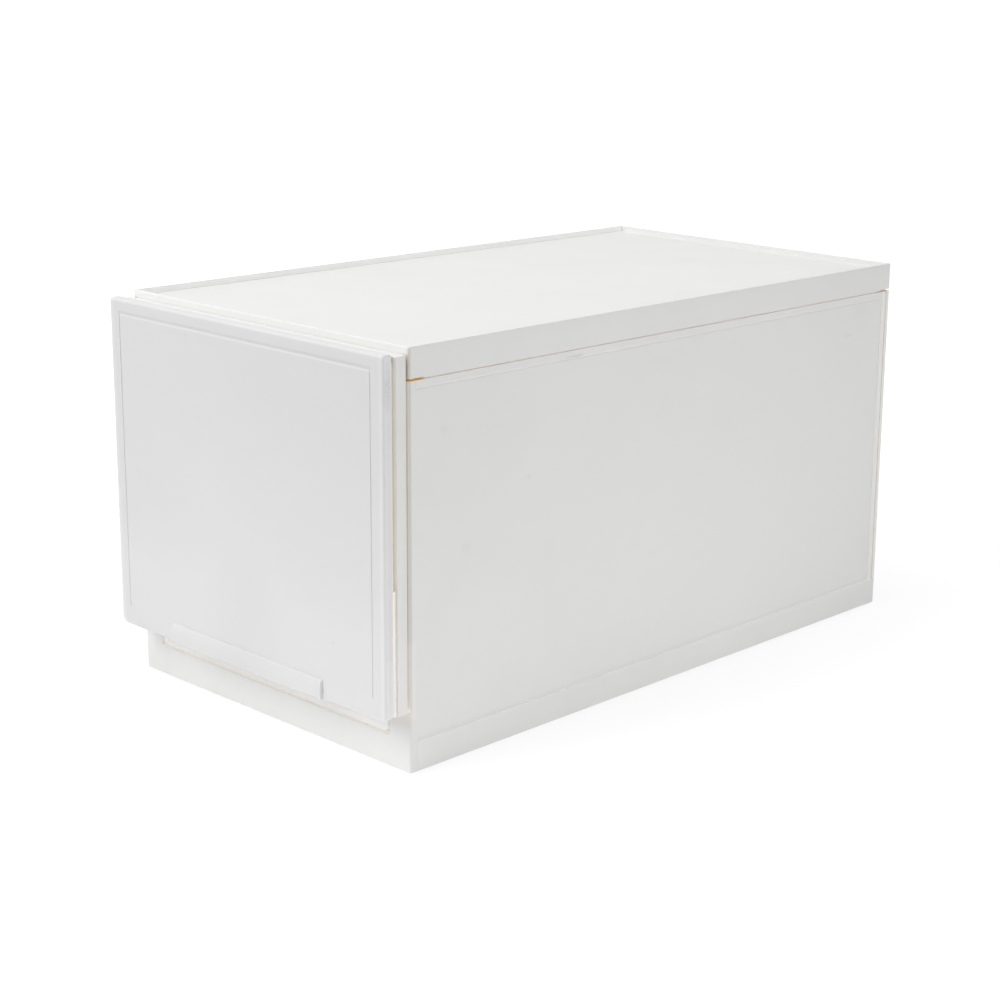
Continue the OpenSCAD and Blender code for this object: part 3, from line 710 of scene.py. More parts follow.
def lay_zones(tree, shader, place, surface, zones):
    """Lays each zone's tone over a surface, and adds painted light (emission) where a zone glows"""
    mirrored_place = folded(tree, place)
    glow = 0.0
    for laid in zones:
        mask = place_group(tree, "Soft zone",
                           {"Vector": mirrored_place if laid.both_sides else place,
                            "Centre": (laid.low + laid.high) / 2,
                            "Half size": (laid.high - laid.low) / 2, "Softness": laid.soft})
        if laid.tone is not None:
            cover = maths(tree, "MULTIPLY", mask, laid.cover)
            surface = mix_colour(tree, cover, surface, opaque(laid.tone))
        if laid.glow > 0.0:
            glow = maths(tree, "MULTIPLY_ADD", mask, laid.glow, glow)
    if isinstance(glow, NodeSocket):
        feed(tree, shader.inputs["Emission Color"], mix_colour(tree, glow, grey(0.0), surface))
        shader.inputs["Emission Strength"].default_value = 1.0
    return surface


def moulded_plastic(name, tone, finish, amount=0.10, marks=(), rub=None, zones=()):
    """White moulded plastic with grain, uneven tone, worn edges and marks where they lie, and the
    zones' painted light and painted shade
    """
    rub_cover, rub_strength, patch = 0.46, 0.35, 0.09
    tree, shader, place = new_material(name)
    surface = stained(tree, place, tone, finish.stain, amount, patch)
    surface = lay_zones(tree, shader, place, surface, zones)
    if rub is not None:
        low, high, width = rub
        mask = place_group(tree, "Edge rub",
                           {"Vector": place, "Centre": (low + high) / 2,
                            "Half size": (high - low) / 2, "Width": width, "Cover": rub_cover})
        worn = maths(tree, "MULTIPLY", mask, rub_strength)
        surface = mix_colour(tree, worn, surface, opaque(finish.stain))
    for centre, size, strength in marks:
        mask = place_group(tree, "Scuff", {"Vector": place, "Centre": centre, "Size": size})
        surface = mix_colour(tree, maths(tree, "MULTIPLY", mask, strength), surface,
                             opaque(finish.scuff_and_shade_grey))
    coat(tree, shader, place, surface, PLASTIC_SHEEN)


def seam_plastic(name, tone, glow, finish, zones=()):
    """Yellowed plastic inside the seams, with painted light (emission) that lifts their shade"""
    tree, shader, place = new_material(name)
    surface = stained(tree, place, tone, finish.seam_stain, amount=0.35, patch=0.03)
    # Painted light: emission over the whole seam
    everywhere = zone((-1, 1), (-1, 1), (-1, 1), MERGE, glow=glow)
    surface = lay_zones(tree, shader, place, surface, (everywhere, *zones))
    coat(tree, shader, place, surface, SEAM_SHEEN)


def zinc_steel(finish):
    """Zinc plated steel with a faint spangle"""
    tree, shader, place = new_material("zinc plated steel")
    surface = stained(tree, place, finish.steel, finish.steel_stain, amount=0.5, patch=0.002)
    shader.inputs["Metallic"].default_value = 1.0
    coat(tree, shader, place, surface, STEEL_SHEEN, grain=2e-6, sink=0.0, grain_size=0.0003)


# ---- Zones of painted light, painted shade and tone on the pieces, given for the right half and mirrored on the left ----

THIN = 0.0002                  # softness of a zone that ends at an edge
SOFT = 0.0012                  # softness of a zone that fades out over a face
BEYOND = 0.1                   # well past the facing
LIT_HEIGHTS = (0.068, 0.095)   # where the floor's light fades in the seam behind the facing


def case_zones(case, finish):
    """Tones of the case: painted shade in its corners, steps and gaps, and painted light on its lit
    faces and in its seams
    """
    rear_y = BACK_Y - case.rear_return - case.rear_seam
    band_z = WALL_TOP_Z - case.top_band
    low_z, top_z = BEZEL[0].z, BEZEL[1].z
    rim_x, rim_y = SIDE_X - case.rim_width, BACK_Y - case.rim_width
    gap_x, gap_y = (SIDE_X - 2 * case.wall, PAST_X), (PAST_Y, FRONT_Y + 2 * THIN)
    skin_x, skin_y = (SIDE_X - case.wall, PAST_X), (RETURN_Y, rear_y)
    corner_soft = 1.2 * SOFT
    return (
        # Painted light on the front edge of the lid, and over the shade of its part behind the
        # bezel's top
        zone((-CLEAR, PAST_X), gap_y, (SKIRT_Z, TOP_Z + CLEAR), THIN, finish.lid_front_painted_light,
             glow=0.03),
        zone((-CLEAR, SIDE_X - 4 * SOFT), (PAST_Y, FRONT_Y + CLEAR),
             (top_z - 2 * SOFT, top_z + SOFT), SOFT, glow=0.06),
        # Painted light on the inner face of the rim
        zone((-CLEAR, rim_x + THIN), (FRONT_Y + case.rim_width + 2 * THIN, rim_y - 2 * THIN),
             (TOP_Z - case.tray_depth + THIN, TOP_Z - THIN), THIN, glow=finish.rim_painted_light),
        # Painted shade and painted light in the gap behind the bezel: its whole height, its lower
        # part and its part at the lid
        zone(gap_x, gap_y, (low_z, SKIRT_Z), THIN, finish.gap_shade, cover=0.8,
             glow=finish.gap_painted_light),
        zone(gap_x, gap_y, (low_z, 2 * low_z), 5 * SOFT, glow=finish.gap_painted_light / 2),
        zone(gap_x, gap_y, (SKIRT_Z - CLEAR, top_z), THIN, finish.lid_gap_shade, cover=0.7),
        # Painted light in the seam over the plinth
        zone(skin_x, skin_y, (PLINTH_Z - 2 * THIN, PLINTH_Z + 2 * THIN), 2 * THIN, glow=0.14),
        # Painted shade along the front corner, and painted shadow on the kick under the bezel's end
        zone((SIDE_X - SOFT, PAST_X), (PAST_Y, FRONT_Y + corner_soft),
             (low_z - SOFT, TOP_Z - SOFT), corner_soft, finish.shaded, cover=0.85),
        zone((OPENING_X, PAST_X), (PAST_Y, FRONT_Y + SOFT), (low_z - 8 * SOFT, low_z + SOFT),
             2 * SOFT, finish.seam_yellow_and_shadow, cover=0.9),
        # Painted shade in the steps of the side field at its top and at the plinth
        zone(skin_x, skin_y, (band_z - SOFT, band_z - THIN), SOFT / 2, finish.shaded, cover=0.40),
        zone(skin_x, skin_y, (PLINTH_Z, PLINTH_Z + 2 * SOFT), SOFT, finish.shaded, cover=0.15),
        # Painted light on the band at the rear corner
        zone(skin_x, (rear_y - case.rear_band, BACK_Y), (PLINTH_Z, WALL_TOP_Z), THIN,
             finish.rear_edge_painted_light),
    )


def tub_zones(drawer, finish):
    """Painted light on the lower parts of tub, bezel and plate, where the pale floor lights them
    from below
    """
    low, high = BEZEL
    seam_x, seam_z = (SIDE_X - drawer.rebate_width, PAST_X), low.z - CLEAR
    floor_y = (low.y + MERGE, low.y + drawer.rebate_depth + MERGE)
    return (
        *[zone(seam_x, (PLATE[0].y - CLEAR, PLATE[0].y + MERGE), (seam_z, height), MERGE,
               glow=finish.plate_painted_light / 3) for height in (*LIT_HEIGHTS, drawer.plate_step)],
        # Painted light and seam tone on the floor of the rebate above the plate's step, and painted
        # light on its outer half
        zone(seam_x, floor_y, (drawer.plate_step, high.z), MERGE, finish.front_seam, cover=0.5,
             glow=0.03),
        zone((SIDE_X - drawer.rebate_width / 2, PAST_X), floor_y, (seam_z, high.z), MERGE,
             glow=0.15),
        # Painted light on the front wall of the tub under the bezel, and on the lower part of the
        # bezel
        zone((-CLEAR, OPENING_X), (PAST_Y, FRONT_Y + CLEAR), (TUB[0].z, low.z), CLEAR,
             finish.tub_wall, glow=0.08),
        zone((-CLEAR, PAST_X), (low.y - CLEAR, PAST_Y), (low.z, 2 * low.z), low.z / 2,
             finish.tub_low_painted_light),
    )


def notch_zones(case, finish):
    """Painted amber light in the front pry notches, and a darker brown tone in the rear ones"""
    notch_x, notch_z = (LAP_X, PAST_X), (SKIRT_Z - CLEAR, SKIRT_Z + CLEAR)
    rear_length = 1.3 * case.notch_length
    return (
        zone(notch_x, (PAST_Y, FRONT_Y + case.notch_length), notch_z, MERGE, finish.notch_amber_light,
             glow=finish.notch_painted_light, both_sides=False),
        zone(notch_x, (BACK_Y - rear_length, BACK_Y - case.rear_return), notch_z, MERGE,
             finish.rear_notch),
    )


def rebate_zones(drawer, finish):
    """Painted light on the rebate of the bezel, which lies brighter than the plate's edge and
    brightest low down
    """
    low, high = BEZEL
    inner, floor_y = SIDE_X - 0.75 * drawer.rebate_width, low.y + drawer.rebate_depth + MERGE
    return (
        zone((inner, PAST_X), (low.y + MERGE, floor_y), (low.z, high.z), drawer.rebate_width / 4,
             glow=0.6 * finish.front_seam_painted_light),
        zone((inner - CLEAR, PAST_X), (low.y - MERGE, floor_y), (low.z, drawer.plate_step), MERGE,
             glow=0.7 * finish.front_seam_painted_light),
    )


def facing_zones(drawer, finish):
    """Painted light on the edges of the facing and of its lip, painted shade on its upper field and
    painted light on its lower field
    """
    low, high = FACING
    edge, front = drawer.facing_round, low.y + drawer.lip_out
    groove_x, groove_z = high.x - drawer.groove_border, high.z - drawer.groove_top
    all_y, all_z = (low.y - BEYOND, high.y + BEYOND), (low.z, high.z)
    side_x, side_y = (high.x - THIN, high.x + CLEAR), (front + edge / 2, high.y)
    groove = ((-CLEAR, groove_x), (front - CLEAR, front + CLEAR))
    upper_soft, broad_soft, groove_soft = 0.05, 0.06, 2 * THIN
    return (
        # Field: painted shade on the upper part and the left part, painted light on the lower right
        # part
        zone((-BEYOND, high.x + BEYOND), all_y, (0.7 * high.z, high.z + BEYOND), upper_soft,
             finish.facing_high_painted_shade),
        zone((low.x - BEYOND, 0.6 * low.x), all_y, (-BEYOND, high.z + BEYOND), broad_soft,
             finish.facing_high_painted_shade, cover=0.7, both_sides=False),
        zone((high.x / 3, high.x + BEYOND), (low.y - CLEAR, high.y), (low.z, high.z / 3),
             broad_soft, finish.facing_low_painted_light),
        # Painted light on the sides, more in their lower part, and on the rounding before them
        zone(side_x, side_y, all_z, THIN, finish.facing_side_painted_light),
        zone(side_x, side_y, (low.z, 2 * low.z), THIN, finish.side_low_painted_light, cover=0.6),
        zone((high.x - 2 * edge, high.x + CLEAR), (low.y, front + edge), all_z, edge, glow=0.06),
        # Painted shade and painted highlight on the walls of the groove's top
        zone(*groove, (groove_z - SOFT, groove_z + THIN), groove_soft, finish.scuff_and_shade_grey,
             cover=0.14),
        zone(*groove, (groove_z - 2.5 * SOFT, groove_z - drawer.groove_width), groove_soft,
             glow=0.09),
        # Painted light on the rounding along the top and on the ends of the lip
        zone((-CLEAR, high.x), (low.y, high.y + CLEAR), (high.z - edge, high.z + CLEAR), edge / 2,
             glow=0.09),
        zone((drawer.lip_half - THIN, drawer.lip_half + THIN), (low.y - CLEAR, front),
             (low.z, low.z + drawer.lip_height), THIN / 2, finish.facing_side_painted_light, glow=0.04),
    )


# ---- Shared finishes ----

MARK_DEPTH = 0.004     # how deep a mark on the side reaches into the surface
# Place (y, z), reach (y, z) and strength of the marks of handling on the right side
SIDE_MARKS = (
    ((0.2000, 0.2136), (0.0060, 0.0016), 0.20),
    ((-0.1990, 0.2087), (0.0050, 0.0040), 0.10),
    ((-0.1276, 0.1675), (0.0040, 0.0022), 0.12),
    ((-0.1810, 0.1332), (0.0060, 0.0060), 0.10),
    ((-0.0888, 0.2377), (0.0110, 0.0012), 0.45),
)
# Place, reach and strength of those on the facing
FACING_MARKS = (
    ((-0.0520, FACING[0].y, 0.2451), (0.0016, 0.006, 0.0016), 0.25),
    ((0.0856, FACING[0].y, 0.0772), (0.0016, 0.006, 0.0016), 0.30),
    ((0.1325, FACING[1].y - 0.004, 0.2395), (0.003, 0.004, 0.0170), 0.24),
)


class DRAWERBOX_OT_finishes(Operator):
    """Builds the node groups and the plastics and steel that the pieces share"""
    bl_idname = "drawer_box.finishes"
    bl_label = "Finishes"

    def execute(self, context):
        case, drawer = context.scene.drawer_box_case, context.scene.drawer_box_drawer
        finish = context.scene.drawer_box_finish
        build_grain_group()
        build_patina_group()
        build_edge_group()
        build_scuff_group()
        build_zone_group()
        side_marks = [((SIDE_X, *place), (MARK_DEPTH, *reach), strength)
                      for place, reach, strength in SIDE_MARKS]
        case_low = Vector((-SIDE_X, FRONT_Y, SHELL_Z))
        moulded_plastic("satin case", finish.case_plastic, finish, marks=side_marks,
                        rub=(case_low, LID[1], case.rub_width), zones=case_zones(case, finish))
        moulded_plastic("satin tub", finish.tub_plastic, finish, amount=0.16,
                        zones=tub_zones(drawer, finish))
        moulded_plastic("satin facing", finish.facing_plastic, finish, amount=0.06,
                        marks=FACING_MARKS, rub=(*FACING, drawer.rub_width),
                        zones=facing_zones(drawer, finish))
        moulded_plastic("satin inside", finish.case_plastic, finish, amount=0.20)
        seam_plastic("lid seam", finish.seam_yellow_and_shadow, finish.lid_seam_painted_light, finish,
                     notch_zones(case, finish))
        seam_plastic("kick seam", finish.seam_yellow_and_shadow, finish.kick_seam_painted_light, finish)
        seam_plastic("front seam", finish.front_seam, finish.front_seam_painted_light, finish,
                     rebate_zones(drawer, finish))
        zinc_steel(finish)
        return {"FINISHED"}


# ---- Case ----

SEAM_DEPTH = 0.003     # depth of the side panels' lapped frame that no seam shows

on_wall_top = face_on(Z, WALL_TOP_Z, 1)


def corner_shell(name, case, outer, inner, corner_y, inner_corner_y):
    """Box with two rounded upright corners, hollowed out with rounded corners too"""
    shell = block(name, *outer)
    round_edges(shell, edge_along(Z, y=corner_y), case.corner_radius, segments=8)
    tool = block("tool", *inner)
    round_edges(tool, edge_along(Z, y=inner_corner_y), case.inner_radius)
    cut(shell, tool)
    return shell


def ribs(case, count, low, high):
    """Ribs across a box, evenly spaced along Y"""
    (x0, y0, z0), (x1, y1, z1) = low, high
    pitch, half = (y1 - y0) / (count + 1), case.rib_width / 2
    middles = [y0 + (i + 1) * pitch for i in range(count)]
    return [block("rib", (x0, y - half, z0), (x1, y + half, z1)) for y in middles]


def pin_places(case):
    """Centres of the push pins along a side"""
    z = (PINS[0].z + PINS[1].z) / 2
    return [(0, PINS[0].y + case.pin_radius, z), (0, PINS[1].y - case.pin_radius, z)]


def screw_places(node, head):
    """Centres of a rail's three screws, from the box round them"""
    low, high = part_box(node)
    z = (low.z + high.z) / 2
    return [(0, y, z) for y in (low.y + head, (low.y + high.y) / 2, high.y - head)]


class DRAWERBOX_OT_lid(Operator):
    """Models the lid: skirt, raised rim, stacking tray, ribs and pry notches"""
    bl_idname = "drawer_box.lid"
    bl_label = "Lid"

    def execute(self, context):
        case = context.scene.drawer_box_case
        lid = block("lid_shell", *LID)
        round_edges(lid, edge_along(Z), case.corner_radius, segments=8)
        round_edges(lid, edge_in(Z, TOP_Z), case.rim_radius, segments=3)
        tray = self.hollow(case, case.rim_width, TOP_Z - case.tray_depth, TOP_Z + CLEAR)
        cut(lid, tray, self.hollow(case, case.wall, SKIRT_Z - CLEAR, LID_UNDER_Z))
        corner_x = SIDE_X - case.wall - case.notch_height
        cut(lid, *[block("notch", (x0, y0, SKIRT_Z - CLEAR), (x1, y1, SKIRT_Z + case.notch_height))
                   for x0, x1 in ((-PAST_X, -corner_x), (corner_x, PAST_X))
                   for y0, y1 in ((PAST_Y, FRONT_Y + case.notch_length),
                                  (BACK_Y - case.notch_length, BACK_Y + CLEAR))])
        rib_x = PINS[0].x - case.lap_gap
        fuse(lid, *ribs(case, case.lid_ribs, (-rib_x, FRONT_Y, LID_UNDER_Z - case.lid_rib_height),
                        (rib_x, BACK_Y, LID_UNDER_Z)))
        finish_edges(lid, case.edge_radius)
        bite_x = SIDE_X - case.wall + case.pin_bite
        cut(lid, *[rod(X, place, case.pin_bore, *ends) for place in pin_places(case)
                   for ends in ((-bite_x, -LAP_X), (LAP_X, bite_x))])
        dress(lid, "case", "case_plastic", ["lid"], "satin case", "lid seam")
        paint(lid, 1, lambda centre, normal: centre.z < SKIRT_Z + case.notch_height + SNAP
              and normal.z < -ALONG)
        return {"FINISHED"}

    def hollow(self, case, inset, z0, z1):
        """Tool for a hollow that is set in from the lid's outline"""
        tool = block("hollow", (-SIDE_X + inset, FRONT_Y + inset, z0),
                     (SIDE_X - inset, BACK_Y - inset, z1))
        round_edges(tool, edge_along(Z), case.inner_radius)
        return tool


class DRAWERBOX_OT_front_frame(Operator):
    """Models the front frame: kick plate, stiles, head rail and the collar round the opening"""
    bl_idname = "drawer_box.front_frame"
    bl_label = "Front frame"

    def execute(self, context):
        case = context.scene.drawer_box_case
        inner_x, skin_y = SIDE_X - case.wall, FRONT_Y + case.wall
        opening_x = SIDE_X - case.stile
        opening_top = WALL_TOP_Z - case.head_rail
        collar = OPENING_X - opening_x
        shell = corner_shell("front_frame_shell", case,
                             ((-SIDE_X, FRONT_Y, SHELL_Z), (SIDE_X, RETURN_Y, WALL_TOP_Z)),
                             ((-inner_x, skin_y, SHELL_Z + case.wall),
                              (inner_x, RETURN_Y + CLEAR, WALL_TOP_Z + CLEAR)), FRONT_Y, skin_y)
        fuse_box(shell, (-opening_x - collar, FRONT_Y + case.wall / 2, case.kick - collar),
                 (opening_x + collar, FRAME[1].y, opening_top + collar))
        cut_box(shell, (-opening_x, PAST_Y, case.kick),
                (opening_x, FRAME[1].y + CLEAR, opening_top))
        finish_edges(shell, case.edge_radius)
        dress(shell, "case", "case_plastic", ["front_frame"], "satin case", "kick seam",
              "lid seam")
        paint(shell, 2, on_wall_top)

        def inside_collar(centre, normal):
            """Faces that look into the opening"""
            within = abs(centre.x) < opening_x + SNAP and abs(normal.y) < ACROSS
            return within and case.kick - SNAP < centre.z < opening_top + SNAP
        paint(shell, 1, inside_collar)
        return {"FINISHED"}


class DRAWERBOX_OT_side_panels(Operator):
    """Models both side panels: skin with a recessed field, lapped frame, ribs and bores"""
    bl_idname = "drawer_box.side_panels"
    bl_label = "Side panels"

    def execute(self, context):
        case = context.scene.drawer_box_case
        inner_x = SIDE_X - case.wall
        rear_y = BACK_Y - case.rear_return - case.rear_seam
        right = block("side_panel_right_shell", (inner_x, RETURN_Y, PLINTH_Z),
                      (SIDE_X, rear_y, WALL_TOP_Z))
        cut_box(right, (SIDE_X - case.field_depth, RETURN_Y - CLEAR, PLINTH_Z - CLEAR),
                (PAST_X, rear_y - case.rear_band, WALL_TOP_Z - case.top_band))
        fuse(right, self.lapped_frame(case, inner_x))
        finish_edges(right, case.edge_radius)
        head = context.scene.drawer_box_drawer.screw_head
        screws = [place for node in ("runner_screws_right", "guide_screws_right")
                  for place in screw_places(node, head)]
        cut(right, *[rod(X, place, case.bore, LAP_X - CLEAR, LAP_X + case.screw_bite)
                     for place in screws],
            *[rod(X, place, case.pin_bore, LAP_X - CLEAR, inner_x + CLEAR)
              for place in pin_places(case)])
        left = mirrored(right, "side_panel_left_shell")
        for panel, node in ((right, "side_panel_right"), (left, "side_panel_left")):
            dress(panel, "case", "case_plastic", [node], "satin case", "lid seam")
            paint(panel, 1, self.in_seam)
        return {"FINISHED"}

    def lapped_frame(self, case, inner_x):
        """Window frame behind the skin, with upright ribs"""
        low, high = SIDE
        lap = block("tool", low, (inner_x, high.y, high.z))
        round_edges(lap, edge_along(Z, x=inner_x), case.inner_radius + case.lap_gap)
        y0, y1 = low.y + case.lap_post, high.y - case.lap_post
        z0, z1 = low.z + case.lap_low, high.z - case.lap_high
        cut_box(lap, (LAP_X - CLEAR, y0, z0), (inner_x + CLEAR, y1, z1))
        fuse(lap, *ribs(case, case.side_ribs, (LAP_X, y0, z0), (inner_x, y1, z1)))
        return lap

    @staticmethod
    def in_seam(centre, normal):
        """Top and rear edges of the skin, and the lapped frame where a seam shows it"""
        above = centre.z > WALL_TOP_Z and abs(normal.x) > ALONG
        behind = normal.y > ALONG and abs(centre.x) > LAP_X + SEAM_DEPTH
        return on_wall_top(centre, normal) or above or behind


class DRAWERBOX_OT_back_panel(Operator):
    """Models the back panel: recessed field, returns round the rear corners and two laps"""
    bl_idname = "drawer_box.back_panel"
    bl_label = "Back panel"

    def execute(self, context):
        case = context.scene.drawer_box_case
        inner_x, skin_y = SIDE_X - case.wall, BACK_Y - case.wall
        return_y, border = BACK_Y - case.rear_return, case.back_border
        back = corner_shell("back_panel_shell", case,
                            ((-SIDE_X, return_y, PLINTH_Z), (SIDE_X, BACK_Y, WALL_TOP_Z)),
                            ((-inner_x, return_y - CLEAR, PLINTH_Z - CLEAR),
                             (inner_x, skin_y, WALL_TOP_Z + CLEAR)), BACK_Y, skin_y)
        cut_box(back, (-SIDE_X + border, BACK_Y - case.field_depth, PLINTH_Z + border / 2),
                (SIDE_X - border, BACK_Y + CLEAR, WALL_TOP_Z - border / 2))
        lap_x = LAP_X - case.lap_gap
        fuse(back, *[block("lap", (-lap_x, BACK[0].y, z0), (lap_x, skin_y + SNAP, z1))
                     for z0, z1 in ((BACK[0].z, BACK[0].z + case.back_lap),
                                    (WALL_TOP_Z - case.lap_post, BACK[1].z))])
        finish_edges(back, case.edge_radius)
        dress(back, "case", "case_plastic", ["back_panel"], "satin case", "lid seam")
        paint(back, 1, lambda centre, normal: on_wall_top(centre, normal)
              or (centre.z > WALL_TOP_Z and normal.y > ALONG))
        return {"FINISHED"}


class DRAWERBOX_OT_base_pan(Operator):
    """Models the base: a shallow pan that forms the plinth, on a foot ring"""
    bl_idname = "drawer_box.base_pan"
    bl_label = "Base pan"

    def execute(self, context):
        case = context.scene.drawer_box_case
        inner_x, skin_y = SIDE_X - case.wall, BACK_Y - case.wall
        pan = corner_shell("base_pan", case,
                           ((-SIDE_X, RETURN_Y, SHELL_Z), (SIDE_X, BACK_Y, PLINTH_Z)),
                           ((-inner_x, RETURN_Y - CLEAR, SHELL_Z + case.wall),
                            (inner_x, skin_y, PLINTH_Z + CLEAR)), BACK_Y, skin_y)
        foot_x, foot_y = SIDE_X - case.foot_inset, BACK_Y - case.foot_inset
        ring = block("ring", (-foot_x, RETURN_Y, 0), (foot_x, foot_y, SHELL_Z))
        cut_box(ring, (-foot_x + case.foot_width, RETURN_Y + case.foot_width, -CLEAR),
                (foot_x - case.foot_width, foot_y - case.foot_width, SHELL_Z + CLEAR))
        fuse(pan, ring)
        finish_edges(pan, case.edge_radius)
        dress(pan, "case", "case_plastic", ["base_panel"], "satin case")
        return {"FINISHED"}


# ---- Drawer ----

def trough(name, drawer, inset, y0, z0, z1):
    """Trough with rounded rear corners and lower edges, set in by a distance"""
    x = drawer.tub_half - inset
    rear = TUB[1].y - inset
    piece = block(name, (-x, y0, z0), (x, rear, z1))
    round_edges(piece, edge_along(Z, y=rear), max(drawer.tub_corner - inset, drawer.tub_bead))

    def lower_edge(a, b):
        return edge_in(Z, z0)(a, b) and not edge_in(Y, y0)(a, b)
    round_edges(piece, lower_edge, max(drawer.tub_edge - inset, drawer.tub_bead / 2), segments=4)
    return piece


def screw_rods(drawer, radius, start, end):
    """Rods round the axes of the four facing screws, as tools for bores and bosses"""
    x = SCREWS[1].x - drawer.screw_head
    heights = (SCREWS[0].z + drawer.screw_head, SCREWS[1].z - drawer.screw_head)
    return [rod(Y, (side * x, 0, z), radius, start, end) for side in (-1, 1) for z in heights]


class DRAWERBOX_OT_tub(Operator):
    """Models the drawer tub: open trough with a rim bead and a stop ear on each side"""
    bl_idname = "drawer_box.tub"
    bl_label = "Drawer tub"

    def execute(self, context):
        drawer = context.scene.drawer_box_drawer
        case = context.scene.drawer_box_case
        wall, bead = drawer.tub_wall, drawer.tub_bead
        low_z, top_z = TUB[0].z, TUB[1].z
        tub = trough("drawer_tub_shell", drawer, 0, FRONT_Y, low_z, top_z)
        cut(tub, trough("tool", drawer, wall, FRONT_Y + wall, low_z + wall, top_z - bead))
        rim = wall + bead
        cut(tub, trough("tool", drawer, rim, FRONT_Y + rim, top_z - 3 * bead, top_z + CLEAR))
        for side in (-1, 1):
            for part in self.ear(drawer, side):
                fuse(tub, part)
        finish_edges(tub, case.edge_radius)
        cut(tub, *screw_rods(drawer, drawer.bore, PAST_Y, FRONT_Y + wall + CLEAR))
        dress(tub, "drawer", "case_plastic", ["drawer_tub"], "satin tub")
        return {"FINISHED"}

    def ear(self, drawer, side):
        """Stop ear and the flat gusset behind it"""
        start = drawer.tub_half - drawer.tub_wall / 2
        end = TUB[1].x
        front = TUB[1].y - drawer.ear_hold
        rear = front + drawer.ear_thickness
        x0, x1 = sorted((side * start, side * end))
        plate = block("tool", (x0, front, drawer.ear_low),
                      (x1, rear, drawer.ear_low + drawer.ear_height))
        middle, half = drawer.ear_low + drawer.ear_height / 2, drawer.gusset / 2
        x0, x1 = sorted((side * start, side * (end - half)))
        gusset = block("tool", (x0, rear, middle - half), (x1, rear + end - start, middle + half))
        with editing(gusset, "FACE"):
            bpy.ops.mesh.select_all(action="SELECT")
            done(bpy.ops.mesh.bisect(plane_co=(side * end, rear, 0), plane_no=(side, 1, 0),
                                     clear_outer=True, use_fill=True), "gusset's slope")
        return plate, gusset


class DRAWERBOX_OT_bezel(Operator):
    """Models the bezel: a shallow pan with a rebated face, a finger pocket and four bosses"""
    bl_idname = "drawer_box.bezel"
    bl_label = "Bezel"

    def execute(self, context):
        drawer = context.scene.drawer_box_drawer
        case = context.scene.drawer_box_case
        wall = drawer.bezel_wall
        low, high = BEZEL
        rear = FRONT_Y - drawer.bezel_gap
        bezel = block("bezel_shell", low, (high.x, rear, high.z))
        cut_box(bezel, (low.x + wall, low.y + wall, low.z + wall),
                (high.x - wall, rear + CLEAR, high.z - wall))
        pocket, top = drawer.pocket_half, drawer.pocket_top
        fuse_box(bezel, (-pocket - wall, low.y, low.z), (pocket + wall, high.y, top + wall))
        fuse(bezel, *screw_rods(drawer, drawer.boss, low.y + wall, high.y))
        cut_box(bezel, (-pocket, low.y - CLEAR, low.z - CLEAR), (pocket, high.y + CLEAR, top))
        width, floor_y = drawer.rebate_width, low.y + drawer.rebate_depth
        rebate = block("rebate", (low.x - CLEAR, low.y - CLEAR, low.z - CLEAR),
                       (high.x + CLEAR, floor_y, high.z + CLEAR))
        cut_box(rebate, (low.x + width, low.y - 2 * CLEAR, low.z + width),
                (high.x - width, low.y + CLEAR, high.z - width))
        cut(bezel, rebate)
        finish_edges(bezel, case.edge_radius)
        cut(bezel, *screw_rods(drawer, drawer.bore, low.y - CLEAR, high.y + CLEAR))
        dress(bezel, "drawer", "case_plastic", ["front_bezel"], "satin tub", "front seam")

        def in_rebate(centre, normal):
            """Floor of the rebate and the step up to the middle of the face"""
            before = centre.y < floor_y + SNAP and normal.y < ACROSS
            outer = abs(centre.x) > high.x - width - SNAP or centre.z > high.z - width - SNAP
            rim = abs(abs(centre.x) - high.x) < SNAP or abs(centre.z - high.z) < SNAP
            return before and outer and not rim
        paint(bezel, 1, in_rebate)
        return {"FINISHED"}


class DRAWERBOX_OT_plate(Operator):
    """Models the thin mounting plate behind the facing, wider in its lower part"""
    bl_idname = "drawer_box.plate"
    bl_label = "Mounting plate"

    def execute(self, context):
        drawer = context.scene.drawer_box_drawer
        case = context.scene.drawer_box_case
        low, high = PLATE
        inner_x = high.x - drawer.rebate_width
        plate = block("mounting_plate_shell", (-inner_x, low.y, low.z), (inner_x, high.y, high.z))
        fuse_box(plate, low, (high.x, high.y, drawer.plate_step))
        round_edges(plate, edge_along(Y, z=low.z), drawer.plate_corner)
        cut_box(plate, (-drawer.pocket_half, low.y - CLEAR, low.z - CLEAR),
                (drawer.pocket_half, high.y + CLEAR, drawer.pocket_top))
        finish_edges(plate, case.edge_radius / 2, segments=2)
        cut(plate, *screw_rods(drawer, drawer.bore, low.y - CLEAR, high.y + CLEAR))
        dress(plate, "drawer", "case_plastic", ["front_mounting_plate"], "satin tub",
              "front seam")
        paint(plate, 1, lambda centre, normal: centre.z > drawer.plate_step and normal.y < ACROSS)
        return {"FINISHED"}


